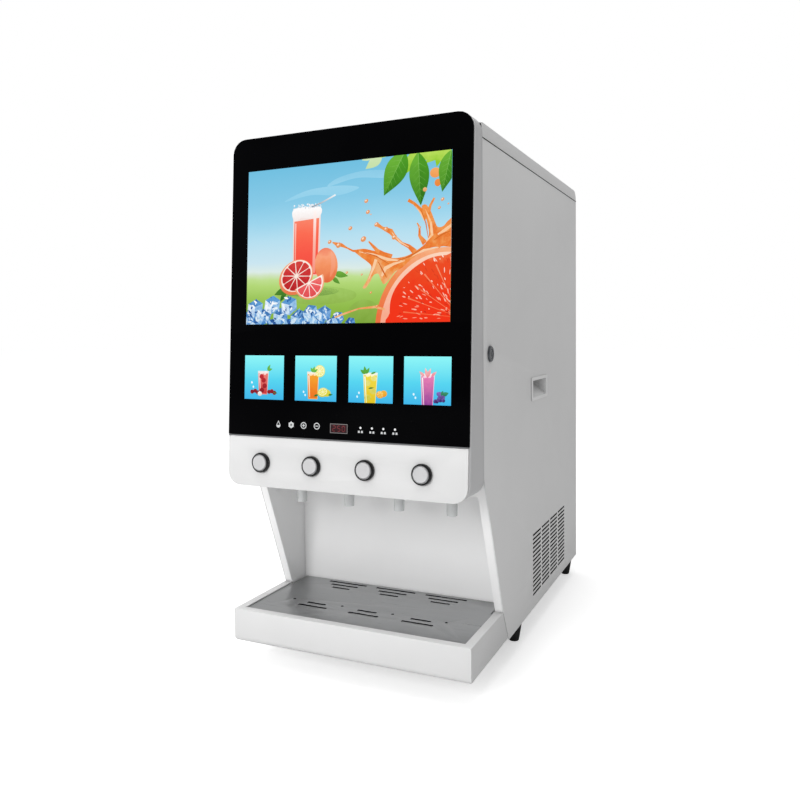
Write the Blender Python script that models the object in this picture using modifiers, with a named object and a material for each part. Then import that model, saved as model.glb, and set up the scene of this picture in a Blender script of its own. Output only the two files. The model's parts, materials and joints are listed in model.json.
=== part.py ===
"""A countertop dispenser for four cold drinks: metres, +Z up, the front faces -Y.

The origin is on the surface it stands on, in the middle of its width and depth.
"""

import math

import bmesh
import bpy
from mathutils import Matrix, Vector

# Fits
GAP = 0.0003
SHEET = 0.0015
ROUND = 24
HIDDEN_ROUND = 14

# Cabinet
HALF_WIDTH = 0.210
FRONT_Y = -0.291
REAR_Y = 0.368
FOOT_HEIGHT = 0.041
LID_SEAM_Z = 0.845
TOP_Z = 0.867
LID_CORNER = 0.020
INNER_HALF = HALF_WIDTH - SHEET - GAP
SLANT_TOP = (FRONT_Y, 0.335)
SLANT_LOW = (-0.195, 0.097)
SEAM_LOW = (-0.165, FOOT_HEIGHT)
BULKHEAD_Y = -0.052
FOOT_X = 0.189
FOOT_Y = (-0.064, 0.349)

# Dispensing bay
BAY_HALF = 0.1955
BAY_BACK_Y = -0.149
BAY_CEILING_Z = 0.3025
LINTEL_REAR_Y = -0.268
NOZZLE_Y = -0.238
NOZZLE_TIP_Z = 0.260
FLAVOUR_X = (-0.144, -0.050, 0.044, 0.138)

# Drip tray
TRAY_FRONT_Y = -0.352
TRAY_RIM_Z = SLANT_LOW[1]
TRAY_RIM = 0.0142
TRAY_CORNER = 0.011
PLATE_LOW_Z = 0.0935
PLATE_HIGH_Z = 0.0950
SLOT_WIDTH = 0.0055
SLOT_PITCH_X = 0.0963
SLOT_ROWS = ((-0.288, 0.054), (-0.2735, 0.035), (-0.189, 0.035), (-0.175, 0.054), (-0.161, 0.076))

# Door
DOOR_HALF = 0.2103
DOOR_LOW_Z = 0.309
DOOR_TOP_Z = 0.876
DOOR_TOP_Y = -0.329
DOOR_LOW_Y = -0.362
DOOR_CORNER = 0.024
DOOR_REAR_Y = FRONT_Y - GAP
GLASS_THICK = 0.004
GLASS_LOW_Z = 0.3915
PANEL_TOP_Z = 0.389
SHELL_WALL = 0.003
HINGE_INSET = 0.0125
HINGE_X = -DOOR_HALF + HINGE_INSET
HINGE_Y = FRONT_Y - HINGE_INSET
STILE_X = -0.172
LEAN = math.atan2(DOOR_TOP_Y - DOOR_LOW_Y, DOOR_TOP_Z - DOOR_LOW_Z)
FACE_DATUM_Z = 0.871
BUTTON_S = 0.5245
BUTTON_HOLE_R = 0.0143

# Lock, grips and vents in the sides
LOCK_Y, LOCK_Z = -0.259, 0.522
GRIP_Y = (-0.020, 0.096)
GRIP_Z = (0.4275, 0.4705)
VENT_Y, VENT_Z = (-0.010, 0.246), (0.067, 0.178)
VENT_COLUMNS, VENT_ROWS = 4, 15
VENT_LENGTH, VENT_HEIGHT = 0.057, 0.0038

# Fan behind the right-hand vents
FAN_CENTRE = Vector((0.132, 0.118, 0.170))
FAN_RADIUS = 0.085

# The door's face as a frame: local X is right, local Y goes into the door, local Z runs up the slope.
FACE_DATUM_Y = DOOR_TOP_Y - (DOOR_TOP_Z - FACE_DATUM_Z) * math.tan(LEAN)
FACE = Matrix.Translation((0, FACE_DATUM_Y, FACE_DATUM_Z)) @ Matrix.Rotation(-LEAN, 4, "X")
TO_X = Matrix(((0, 0, 1, 0), (1, 0, 0, 0), (0, 1, 0, 0), (0, 0, 0, 1)))
TO_Y = Matrix(((1, 0, 0, 0), (0, 0, -1, 0), (0, 1, 0, 0), (0, 0, 0, 1)))
TO_Z = Matrix.Identity(4)


def clear_scene():
    for old in list(bpy.data.objects):
        bpy.data.objects.remove(old, do_unlink=True)


clear_scene()
PARTS = bpy.data.collections.new("drink_dispenser")
CUTTERS = bpy.data.collections.new("cutters")
bpy.context.scene.collection.children.link(PARTS)
bpy.context.scene.collection.children.link(CUTTERS)
CUTTERS.hide_render = True


# ---------------------------------------------------------------- shape helpers


def add_mesh(name, mesh, matrix=TO_Z):
    mesh.name = name
    obj = bpy.data.objects.new(name, mesh)
    obj.matrix_world = matrix
    PARTS.objects.link(obj)
    return obj


def mesh_from(name, working, matrix):
    """The evaluated mesh of a curve or a modified object, welded and facing out."""
    bpy.context.view_layer.update()
    graph = bpy.context.evaluated_depsgraph_get()
    mesh = bpy.data.meshes.new_from_object(working.evaluated_get(graph))
    bm = bmesh.new()
    bm.from_mesh(mesh)
    bmesh.ops.remove_doubles(bm, verts=bm.verts, dist=1e-6)
    bmesh.ops.recalc_face_normals(bm, faces=bm.faces)
    bm.to_mesh(mesh)
    bm.free()
    bpy.data.objects.remove(working, do_unlink=True)
    return add_mesh(name, mesh, matrix)


def prism(name, outlines, low, high, frame=TO_Z):
    """Outlines in the frame's XY plane, the first with the rest as holes, from low to high in Z."""
    curve = bpy.data.curves.new(name, "CURVE")
    curve.dimensions = "2D"
    curve.fill_mode = "BOTH"
    curve.extrude = (high - low) / 2
    for outline in outlines:
        spline = curve.splines.new("POLY")
        spline.points.add(len(outline) - 1)
        for point, (u, v) in zip(spline.points, outline):
            point.co = (u, v, 0, 1)
        spline.use_cyclic_u = True
    working = bpy.data.objects.new(name, curve)
    PARTS.objects.link(working)
    return mesh_from(name, working, frame @ Matrix.Translation((0, 0, (low + high) / 2)))


def turned(name, profile, frame=TO_Z, steps=ROUND, closed=False):
    """A profile of (radius, height) points turned about the frame's Z axis."""
    mesh = bpy.data.meshes.new(name)
    ends = [(i, i + 1) for i in range(len(profile) - 1)]
    if closed:
        ends.append((len(profile) - 1, 0))
    mesh.from_pydata([(r, 0, z) for r, z in profile], ends, [])
    working = bpy.data.objects.new(name, mesh)
    PARTS.objects.link(working)
    screw = working.modifiers.new("turn", "SCREW")
    screw.axis = "Z"
    screw.steps = screw.render_steps = steps
    screw.use_merge_vertices = True
    screw.merge_threshold = 1e-5
    return mesh_from(name, working, frame)


def box(name, low, high, frame=TO_Z):
    bm = bmesh.new()
    size = Vector(high) - Vector(low)
    middle = (Vector(high) + Vector(low)) / 2
    bmesh.ops.create_cube(bm, size=1, matrix=Matrix.Translation(middle) @ Matrix.Diagonal((*size, 1)))
    mesh = bpy.data.meshes.new(name)
    bm.to_mesh(mesh)
    bm.free()
    return add_mesh(name, mesh, frame)


def rod(name, radius, low, high, frame=TO_Z, steps=ROUND):
    return turned(name, [(0, high), (radius, high), (radius, low), (0, low)], frame, steps)


def boolean(obj, operation, *others):
    """Joins, cuts or crosses obj with the others, which become hidden cutters."""
    for other in others:
        modifier = obj.modifiers.new(f"{operation.lower()}_{other.name}", "BOOLEAN")
        modifier.operation = operation
        modifier.object = other
        modifier.solver = "EXACT"
        PARTS.objects.unlink(other)
        CUTTERS.objects.link(other)
        other.hide_render = True
        other.display_type = "WIRE"
    return obj


def cut(obj, *others):
    return boolean(obj, "DIFFERENCE", *others)


def join(obj, *others):
    return boolean(obj, "UNION", *others)


def soften(obj, width, segments=2, angle=30):
    bevel = obj.modifiers.new("soften", "BEVEL")
    bevel.width = width
    bevel.segments = segments
    bevel.limit_method = "ANGLE"
    bevel.angle_limit = math.radians(angle)
    return obj


def set_origin(obj, point):
    """Moves the object's origin to a point of the world and leaves its shape where it is."""
    shift = obj.matrix_world.inverted() @ Vector(point)
    obj.data.transform(Matrix.Translation(-shift))
    obj.matrix_world = obj.matrix_world @ Matrix.Translation(shift)
    return obj


def arc(centre, radius, start, end, steps=5):
    """Points along an arc, with its angles in degrees."""
    turn = [math.radians(start + (end - start) * i / steps) for i in range(steps + 1)]
    return [(centre[0] + radius * math.cos(t), centre[1] + radius * math.sin(t)) for t in turn]


def circle(centre, radius, steps=ROUND):
    return arc(centre, radius, 0, 360 * (steps - 1) / steps, steps - 1)


def rectangle(u0, u1, v0, v1, low_radius=0.0, high_radius=0.0):
    """A rectangle, anticlockwise from its low left corner, with its low and high corners rounded."""
    corners = [(u0, v0, 1, 1, low_radius, 180), (u1, v0, -1, 1, low_radius, 270)]
    corners += [(u1, v1, -1, -1, high_radius, 0), (u0, v1, 1, -1, high_radius, 90)]
    points = []
    for u, v, side_u, side_v, radius, start in corners:
        centre = (u + side_u * radius, v + side_v * radius)
        points += arc(centre, radius, start, start + 90) if radius else [(u, v)]
    return points


# ---------------------------------------------------------------- materials


def material(name, colour, roughness, metallic=0.0):
    made = bpy.data.materials.new(name)
    made.use_nodes = True
    shader = made.node_tree.nodes["Principled BSDF"]
    shader.inputs["Base Color"].default_value = (*colour, 1)
    shader.inputs["Roughness"].default_value = roughness
    shader.inputs["Metallic"].default_value = metallic
    made.diffuse_color = (*colour, 1)
    return made


FINISHES = {
    "grey_sheet": ((0.55, 0.56, 0.57), 0.45, 0.0),
    "white_sheet": ((0.85, 0.85, 0.84), 0.4, 0.0),
    "door_grey": ((0.45, 0.46, 0.47), 0.4, 0.0),
    "black_glass": ((0.01, 0.01, 0.012), 0.08, 0.0),
    "button_white": ((0.8, 0.8, 0.8), 0.35, 0.0),
    "black_plastic": ((0.02, 0.02, 0.02), 0.4, 0.0),
    "satin_cap": ((0.72, 0.72, 0.73), 0.3, 0.0),
    "steel": ((0.5, 0.5, 0.51), 0.35, 1.0),
    "chrome": ((0.75, 0.75, 0.76), 0.12, 1.0),
    "rubber": ((0.03, 0.03, 0.03), 0.8, 0.0),
    "clear_tube": ((0.6, 0.62, 0.63), 0.2, 0.0),
    "zinc_sheet": ((0.42, 0.43, 0.44), 0.5, 1.0),
    "copper": ((0.7, 0.35, 0.2), 0.3, 1.0),
    "brass": ((0.7, 0.55, 0.25), 0.3, 1.0),
    "board": ((0.02, 0.2, 0.08), 0.5, 0.0),
    "foam_case": ((0.8, 0.8, 0.76), 0.6, 0.0),
    "bottle": ((0.85, 0.86, 0.84), 0.35, 0.0),
    "screen": ((0.2, 0.5, 0.7), 0.3, 0.0),
}


def finish(obj, name):
    colour, roughness, metallic = FINISHES[name]
    obj.data.materials.clear()
    obj.data.materials.append(bpy.data.materials.get(name) or material(name, colour, roughness, metallic))
    return obj


# ---------------------------------------------------------------- cabinet


def make_base_pan():
    pan = box("base_pan", (-INNER_HALF, -0.130, FOOT_HEIGHT), (INNER_HALF, 0.3662, 0.056))
    inner_half = INNER_HALF - SHEET
    inside = box("pan_inside", (-inner_half, -0.1285, FOOT_HEIGHT + SHEET), (inner_half, 0.3647, 0.07))
    tongue = box("pan_tongue", (-0.190, -0.160, FOOT_HEIGHT), (0.190, -0.129, FOOT_HEIGHT + SHEET))
    cut(pan, inside)
    join(pan, tongue)
    finish(pan, "zinc_sheet")


def vent_slots():
    """The slots of one side's vent, as outlines in Y and Z."""
    pitch_y = (VENT_Y[1] - VENT_Y[0] - VENT_LENGTH) / (VENT_COLUMNS - 1)
    pitch_z = (VENT_Z[1] - VENT_Z[0]) / (VENT_ROWS - 1)
    slots = []
    for column in range(VENT_COLUMNS):
        y = VENT_Y[0] + column * pitch_y
        for row in range(VENT_ROWS):
            z = VENT_Z[0] + row * pitch_z
            slots.append(rectangle(y, y + VENT_LENGTH, z - VENT_HEIGHT / 2, z + VENT_HEIGHT / 2))
    return slots


def make_side_panel(name, side):
    outline = [SLANT_TOP, SLANT_LOW, SEAM_LOW, (REAR_Y, FOOT_HEIGHT)]
    outline += [(REAR_Y, LID_SEAM_Z - GAP), (FRONT_Y, LID_SEAM_Z - GAP)]
    grip_hole = rectangle(GRIP_Y[0] + 0.0075, GRIP_Y[1] - 0.0075, GRIP_Z[0] + 0.0045, GRIP_Z[1] - 0.0045)
    holes = vent_slots() + [grip_hole]
    if side > 0:
        holes.append(circle((LOCK_Y, LOCK_Z), 0.0093))
    low, high = sorted((side * (HALF_WIDTH - SHEET), side * HALF_WIDTH))
    finish(prism(name, [outline] + holes, low, high, TO_X), "grey_sheet")


def make_rear_panel():
    slots = []
    for row in range(14):
        z = 0.600 + row * 0.012
        slots += [rectangle(x, x + 0.080, z - 0.002, z + 0.002) for x in (-0.085, 0.005)]
    inlet = rectangle(-0.1556, -0.1256, 0.0956, 0.1202)
    switch = rectangle(-0.1156, -0.0956, 0.0956, 0.1156)
    water = circle((0.130, 0.105), 0.0103)
    outline = rectangle(-INNER_HALF, INNER_HALF, FOOT_HEIGHT, LID_SEAM_Z - GAP)
    panel = prism("rear_panel", [outline, inlet, switch, water] + slots, -REAR_Y, -REAR_Y + SHEET, TO_Y)
    finish(panel, "grey_sheet")


def make_top_cover():
    def profile(inset, front, low):
        rear, top = REAR_Y - inset, TOP_Z - inset
        radius = LID_CORNER - inset
        points = [(front, low), (rear, low)]
        return points + arc((rear - radius, top - radius), radius, 0, 90, 6) + [(front, top)]

    cover = prism("top_cover", [profile(0, FRONT_Y, LID_SEAM_Z)], -HALF_WIDTH, HALF_WIDTH, TO_X)
    inner_half = HALF_WIDTH - SHEET
    inner_profile = profile(SHEET, FRONT_Y - 0.01, LID_SEAM_Z - 0.01)
    inside = prism("cover_inside", [inner_profile], -inner_half, inner_half, TO_X)
    cut(cover, inside)
    finish(cover, "grey_sheet")


def make_front_frame():
    outline = rectangle(-INNER_HALF, INNER_HALF, 0.3355, 0.8620)
    opening = rectangle(-0.192, 0.192, 0.350, 0.850, 0.004, 0.004)
    finish(prism("front_frame", [outline, opening], 0.2807, 0.2907, TO_Y), "white_sheet")


def make_bay_liner():
    """Side walls with slanted front bands, back wall, ceiling and lintel, folded from one sheet."""
    outline = [SLANT_TOP, SLANT_LOW, SEAM_LOW, (BAY_BACK_Y + 0.002, FOOT_HEIGHT + SHEET + GAP)]
    outline[0] = (FRONT_Y + 0.0004, 0.3350)
    outline[2] = (SEAM_LOW[0], FOOT_HEIGHT + SHEET + GAP)
    outline += [(BAY_BACK_Y + 0.002, 0.304), (LINTEL_REAR_Y, 0.304), (LINTEL_REAR_Y, 0.3350)]
    liner = prism("bay_liner", [outline], -INNER_HALF, INNER_HALF, TO_X)
    space = box("bay_space", (-BAY_HALF, -0.4, 0), (BAY_HALF, BAY_BACK_Y, BAY_CEILING_Z))
    cut(liner, space)
    for side in (-1, 1):
        low, high = sorted((side * (BAY_HALF + SHEET), side * 0.22))
        back = [(-0.2725, 0.3027), (-0.1945, 0.1025), (-0.1650, 0.0465), (-0.10, 0.0465), (-0.10, 0.3027)]
        cut(liner, prism(f"wall_back_{side}", [back], low, high, TO_X))
    for x in FLAVOUR_X:
        cut(liner, rod("nozzle_hole", 0.0093, 0.29, 0.31, Matrix.Translation((x, NOZZLE_Y, 0))))
    cut(liner, box("bracket_pocket", (-0.215, -0.295, 0.3088), (-0.180, -0.2700, 0.3122)))
    finish(liner, "white_sheet")


def make_bulkhead():
    bulkhead = box("bulkhead", (-0.206, BULKHEAD_Y, 0.0565), (0.206, BULKHEAD_Y + 0.002, 0.862))
    finish(bulkhead, "zinc_sheet")


def make_syrup_shelf():
    """The shelf that the bottles stand on, with a lip that keeps them in."""
    low, high = (-0.205, -0.2760, 0.404), (0.205, BULKHEAD_Y - GAP, 0.422)
    shelf = box("syrup_shelf", low, high)
    cut(shelf, box("shelf_inside", (-0.203, -0.274, 0.406), (0.203, -0.04, 0.43)))
    finish(shelf, "steel")


def make_feet():
    height = FOOT_HEIGHT - GAP
    profile = [(0, height), (0.0150, height), (0.0150, height - 0.004)]
    profile += [(0.0095, 0.004), (0.0085, 0.0), (0, 0.0)]
    for side, side_name in ((-1, "left"), (1, "right")):
        for y, end_name in zip(FOOT_Y, ("front", "rear")):
            place = Matrix.Translation((side * FOOT_X, y, 0))
            finish(turned(f"foot_{end_name}_{side_name}", profile, place, 20), "rubber")


def make_grip_cup(name, side):
    """The finger recess in a side panel: a flange outside and a cup behind it."""

    def layer(part, inset, low, high, radius):
        low, high = sorted((side * low, side * high))
        inset_z = inset * 0.6
        y0, y1, z0, z1 = GRIP_Y[0] + inset, GRIP_Y[1] - inset, GRIP_Z[0] + inset_z, GRIP_Z[1] - inset_z
        return prism(part, [rectangle(y0, y1, z0, z1, radius, radius)], low, high, TO_X)

    cup = layer(name, 0, HALF_WIDTH + GAP, HALF_WIDTH + SHEET, 0.004)
    join(cup, layer(f"{name}_wall", 0.008, 0.182, HALF_WIDTH + 0.001, 0.003))
    low_z, high_z = GRIP_Z[0] + 0.0062, GRIP_Z[1] - 0.0062
    corners = ((0.22, low_z), (0.2085, low_z), (0.1835, high_z - 0.008), (0.1835, high_z), (0.22, high_z))
    wedge = [(side * x, z) for x, z in corners]
    cut(cup, prism(f"{name}_hollow", [wedge], -GRIP_Y[1] + 0.0095, -GRIP_Y[0] - 0.0095, TO_Y))
    finish(cup, "white_sheet")


def make_hinge_brackets():
    """Two plates on the cabinet, each with a pin that the door turns on."""
    half = 0.0085

    def plate(name, low, high, rear):
        outline = [(HINGE_X + half, rear), (HINGE_X - half, rear)]
        outline += arc((HINGE_X, HINGE_Y), half, 180, 360, 10)
        return finish(prism(name, [outline], low, high), "steel")

    place = Matrix.Translation((HINGE_X, HINGE_Y, 0))
    top = plate("hinge_bracket_top", 0.8625, 0.8649, -0.250)
    join(top, rod("top_pin", 0.003, 0.848, 0.8635, place))
    low = plate("hinge_bracket_bottom", 0.3093, 0.3117, -0.2705)
    join(low, rod("low_pin", 0.003, 0.310, 0.328, place))


def make_lock():
    """A cam lock through the right side: its turning plug carries a hook that holds the door's catch."""
    place = Matrix.Translation((0, LOCK_Y, LOCK_Z)) @ TO_X
    body = [(0.0125, 0.2120), (0.0125, HALF_WIDTH + GAP), (0.0090, HALF_WIDTH + GAP), (0.0090, 0.1895)]
    body += [(0.0074, 0.1895), (0.0074, 0.2130), (0.0115, 0.2130)]
    finish(turned("lock_housing", body, place, closed=True), "chrome")
    plug = rod("lock_cylinder", 0.0070, 0.1870, 0.2126, place)
    hook = arc((0, 0), 0.0265, 28, 100, 10) + arc((0, 0), 0.0220, 100, 46, 8)
    hook += arc((0, 0), 0.0085, 60, 388, 20)
    join(plug, prism("lock_hook", [hook], 0.1860, 0.1885, place))
    cut(plug, box("key_slot", (-0.0008, -0.004, 0.2095), (0.0008, 0.004, 0.22), place))
    set_origin(plug, (0.200, LOCK_Y, LOCK_Z))
    finish(plug, "chrome")


# ---------------------------------------------------------------- drink system


def make_bottles():
    """Four concentrate bottles: a rounded can with a neck and a screw cap."""
    for number, x in enumerate(FLAVOUR_X, 1):
        low, high = (x - 0.043, -0.250, 0.4065), (x + 0.043, -0.085, 0.720)
        bottle = soften(box(f"syrup_bottle_{number}", low, high), 0.012)
        place = Matrix.Translation((x, -0.1675, 0))
        join(bottle, rod("bottle_neck", 0.022, 0.715, 0.745, place, HIDDEN_ROUND))
        join(bottle, rod("bottle_cap", 0.027, 0.738, 0.764, place, HIDDEN_ROUND))
        finish(bottle, "bottle")


def make_pumps():
    """Four peristaltic pumps on the bulkhead, each with a motor behind its head."""
    centre_z = 0.366
    for number, x in enumerate(FLAVOUR_X, 1):
        place = Matrix.Translation((x, 0, centre_z)) @ TO_Y
        face = rectangle(-0.031, 0.031, -0.031, 0.031, 0.010, 0.010)
        head = prism(f"pump_{number}", [face], 0.132, 0.162, place)
        join(head, rod("pump_cover", 0.025, 0.160, 0.168, place, HIDDEN_ROUND))
        join(head, rod("pump_motor", 0.019, -BULKHEAD_Y + GAP, 0.134, place, HIDDEN_ROUND))
        for offset in (-0.012, 0.012):
            spout = Matrix.Translation((x + offset, -0.147, 0))
            join(head, rod("pump_barb", 0.0035, 0.322, 0.340, spout, 8))
        finish(head, "black_plastic")


def make_nozzles():
    profile = [(0.0090, 0.330), (0.0090, 0.3022), (0.0130, 0.3022), (0.0130, 0.2970), (0.0092, 0.2940)]
    profile += [(0.0085, NOZZLE_TIP_Z), (0.0060, NOZZLE_TIP_Z), (0.0060, 0.330)]
    for number, x in enumerate(FLAVOUR_X, 1):
        place = Matrix.Translation((x, NOZZLE_Y, 0))
        finish(turned(f"nozzle_{number}", profile, place, 18, closed=True), "clear_tube")


def make_cooling_tank():
    """The insulated water bath, bolted to the back of the bulkhead."""
    low, high = (-0.170, BULKHEAD_Y + 0.002 + GAP, 0.400), (0.170, 0.200, 0.760)
    tank = soften(box("cooling_tank", low, high), 0.015)
    join(tank, rod("tank_port", 0.020, 0.750, 0.790, Matrix.Translation((0.08, 0.10, 0)), HIDDEN_ROUND))
    join(tank, rod("tank_outlet", 0.007, 0.375, 0.410, Matrix.Translation((-0.08, 0.02, 0)), 8))
    finish(tank, "foam_case")


def make_compressor():
    """A sealed motor-compressor: a domed can with a foot plate and two stubs."""
    x, y, floor = -0.085, 0.230, FOOT_HEIGHT + SHEET + GAP
    can = [(0, 0.245), (0.035, 0.241), (0.062, 0.222), (0.072, 0.190), (0.074, 0.155), (0.080, 0.150)]
    can += [(0.080, 0.144), (0.074, 0.139), (0.072, 0.095), (0.060, 0.066), (0.050, 0.060), (0, 0.060)]
    compressor = turned("compressor", can, Matrix.Translation((x, y, 0)), HIDDEN_ROUND)
    join(compressor, box("compressor_foot", (x - 0.085, y - 0.060, floor), (x + 0.085, y + 0.060, 0.066)))
    for offset in (-0.02, 0.02):
        place = Matrix.Translation((x + offset, y - 0.06, 0))
        join(compressor, rod("compressor_stub", 0.004, 0.20, 0.265, place, 8))
    finish(compressor, "black_plastic")


def make_condenser():
    """A finned block behind the right-hand vents, cut into fins from its inner and outer sides."""
    low, high = Vector((0.166, -0.005, 0.060)), Vector((0.200, 0.241, 0.285))
    block = box("condenser", low, high)
    fins = 12
    pitch = (high.y - low.y) / fins
    for fin in range(1, fins):
        y = low.y + fin * pitch
        slot_low = (low.x - 0.01, y - 0.003, low.z + 0.008)
        slot_high = (0.1795, y + 0.003, high.z - 0.008)
        cut(block, box("fin_gap", slot_low, slot_high))
    for z in (0.09, 0.15, 0.21, 0.27):
        port = Matrix.Translation((0.174, 0, z)) @ TO_Y
        join(block, rod("condenser_pipe", 0.005, 0.003, 0.02, port, 8))
    finish(block, "zinc_sheet")


def make_fan():
    """Shroud, motor and a five-bladed fan that draws air in through the condenser."""
    centre = FAN_CENTRE
    hole = circle((centre.y, centre.z), FAN_RADIUS + 0.004, 32)
    outline = rectangle(-0.005, 0.241, 0.060, 0.285)
    finish(prism("fan_shroud", [outline, hole], 0.1635, 0.1655, TO_X), "zinc_sheet")

    axis = Matrix.Translation((0, centre.y, centre.z)) @ TO_X
    motor = rod("fan_motor", 0.028, 0.080, 0.118, axis, HIDDEN_ROUND)
    join(motor, rod("fan_spindle", 0.004, 0.117, 0.150, axis, 8))
    arm_low = (0.085, centre.y - 0.100, centre.z - 0.008)
    arm_high = (0.089, centre.y + 0.100, centre.z + 0.008)
    join(motor, box("motor_arm", arm_low, arm_high))
    for side in (-1, 1):
        y = centre.y + side * 0.098
        join(motor, box("motor_leg", (0.085, y - 0.002, arm_low[2]), (0.1632, y + 0.002, arm_high[2])))
    finish(motor, "black_plastic")

    fan = turned("fan_blade", [(0.0045, 0.160), (0.022, 0.160), (0.022, 0.126), (0.0045, 0.126)],
                 axis, HIDDEN_ROUND, closed=True)
    for blade in range(5):
        turn = Matrix.Rotation(math.radians(72 * blade), 4, "Z")
        pitch = Matrix.Rotation(math.radians(28), 4, "X")
        place = axis @ turn @ Matrix.Translation((0, 0, 0.143)) @ pitch
        join(fan, box("blade", (0.020, -0.021, -0.001), (FAN_RADIUS - 0.006, 0.021, 0.001), place))
    set_origin(fan, centre)
    finish(fan, "black_plastic")


def make_control_board():
    """The controller card on the back of the bulkhead's right side, with its larger components."""
    low, high = (-0.080, 0.330, 0.480), (0.080, 0.3316, 0.580)
    board = box("control_board", low, high)
    blocks = ((-0.055, 0.555, 0.020, 0.014), (0.010, 0.530, 0.030, 0.030), (0.055, 0.505, 0.018, 0.014))
    for x, z, wide, tall in blocks:
        low, high = (x - wide / 2, 0.318, z - tall / 2), (x + wide / 2, 0.3305, z + tall / 2)
        join(board, box("component", low, high))
    for x in (-0.072, 0.072):
        for z in (0.488, 0.572):
            join(board, rod("standoff", 0.003, -0.3662, -0.331, Matrix.Translation((x, 0, z)) @ TO_Y, 8))
    finish(board, "board")


def make_rear_fittings():
    """Mains inlet, rocker switch and water fitting, low on the rear panel."""
    inlet = box("power_inlet", (-0.1553, 0.345, 0.0959), (-0.1259, 0.3690, 0.1199))
    join(inlet, box("inlet_flange", (-0.1606, REAR_Y + GAP, 0.0906), (-0.1206, 0.3700, 0.1252)))
    cut(inlet, box("inlet_mouth", (-0.1510, 0.350, 0.1000), (-0.1302, 0.38, 0.1158)))
    for x in (-0.1460, -0.1406, -0.1352):
        join(inlet, box("inlet_blade", (x - 0.0010, 0.349, 0.1055), (x + 0.0010, 0.364, 0.1105)))
    finish(inlet, "black_plastic")

    middle = (-0.1056, 0.3660, 0.1056)
    rocker_outline = [(-0.0060, -0.0085), (0.0032, -0.0085), (0.0015, 0.0)]
    rocker_outline += [(0.0052, 0.0085), (-0.0060, 0.0085)]
    place = Matrix.Translation(middle) @ TO_X
    rocker = prism("power_switch", [rocker_outline], -0.0088, 0.0088, place)
    set_origin(rocker, middle)
    finish(rocker, "black_plastic")

    place = Matrix.Translation((0.130, 0, 0.105)) @ TO_Y
    fitting = [(0.0060, -0.374), (0.0095, -0.374), (0.0095, -0.3684), (0.0100, -0.3684), (0.0100, -0.345)]
    fitting += [(0.0060, -0.345)]
    water = turned("water_inlet", fitting, place, HIDDEN_ROUND, closed=True)
    nut = circle((0, 0), 0.016, 6)
    bore = circle((0, 0), 0.0094, HIDDEN_ROUND)
    join(water, prism("inlet_nut", [nut, bore], -0.3660, -0.3590, place))
    finish(water, "brass")


# ---------------------------------------------------------------- door


def face_y(z, depth=0.0):
    """Y of the door's sloping front at a height, and a depth behind it square to the slope."""
    return DOOR_TOP_Y - (DOOR_TOP_Z - z) * math.tan(LEAN) + depth / math.cos(LEAN)


def door_slice(name, outline, front_depth, back_depth=None):
    """The outline in X and Z, between two depths behind the sloping front, or back to the cabinet."""
    piece = prism(name, [outline], 0.25, 0.42, TO_Y)
    low, high = 0.29, 0.89
    side = [(face_y(low, front_depth), low), (face_y(high, front_depth), high)]
    if back_depth is None:
        side += [(DOOR_REAR_Y, high), (DOOR_REAR_Y, low)]
    else:
        side += [(face_y(high, back_depth), high), (face_y(low, back_depth), low)]
    return boolean(piece, "INTERSECT", prism(f"{name}_side", [side[::-1]], -0.23, 0.23, TO_X))


def button_frame(x):
    """A frame whose Z axis points straight out of the door's face at one button."""
    return FACE @ Matrix.Translation((x, 0, -BUTTON_S)) @ Matrix.Rotation(math.pi / 2, 4, "X")


def door_shell_cutters(shell):
    depth = GLASS_THICK + GAP
    right, low, high = DOOR_HALF - SHELL_WALL, DOOR_LOW_Z + SHELL_WALL, DOOR_TOP_Z - SHELL_WALL
    radius = DOOR_CORNER - SHELL_WALL
    cavity_outline = rectangle(STILE_X, right, low, high, radius, radius)
    cavity = prism("door_cavity", [cavity_outline], 0.25, 0.42, TO_Y)
    low, high = 0.28, 0.90
    side = [(face_y(low, depth + SHELL_WALL), low), (-0.27, low), (-0.27, high)]
    side.append((face_y(high, depth + SHELL_WALL), high))
    boolean(cavity, "INTERSECT", prism("cavity_side", [side], -0.23, 0.23, TO_X))
    cut(shell, cavity)
    cut(shell, box("screen_window", (-0.1665, 0.002, -0.4765), (0.1865, 0.0095, -0.038), FACE))
    cut(shell, box("screen_side", (-0.1865, 0.002, -0.4765), (-0.1660, 0.0188, -0.038), FACE))
    for x in FLAVOUR_X:
        cut(shell, rod("button_hole", BUTTON_HOLE_R + GAP, -0.015, 0.0, button_frame(x), 16))
    reach = HINGE_INSET + 0.010
    corner = [(HINGE_X, DOOR_REAR_Y + 0.010), (HINGE_X - reach, DOOR_REAR_Y + 0.010)]
    corner.append((HINGE_X - reach, HINGE_Y))
    corner += arc((HINGE_X, HINGE_Y), HINGE_INSET - GAP, 180, 90, 8)
    cut(shell, prism("hinge_corner", [corner], 0.29, 0.89))
    for low, high, hole in ((0.8622, 0.8652, (0.844, 0.866)), (0.30, 0.3120, (0.308, 0.331))):
        cut(shell, box("hinge_notch", (-0.22, HINGE_Y - 0.018, low), (HINGE_X + 0.018, -0.28, high)))
        cut(shell, rod("pin_hole", 0.0033, *hole, Matrix.Translation((HINGE_X, HINGE_Y, 0))))


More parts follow.
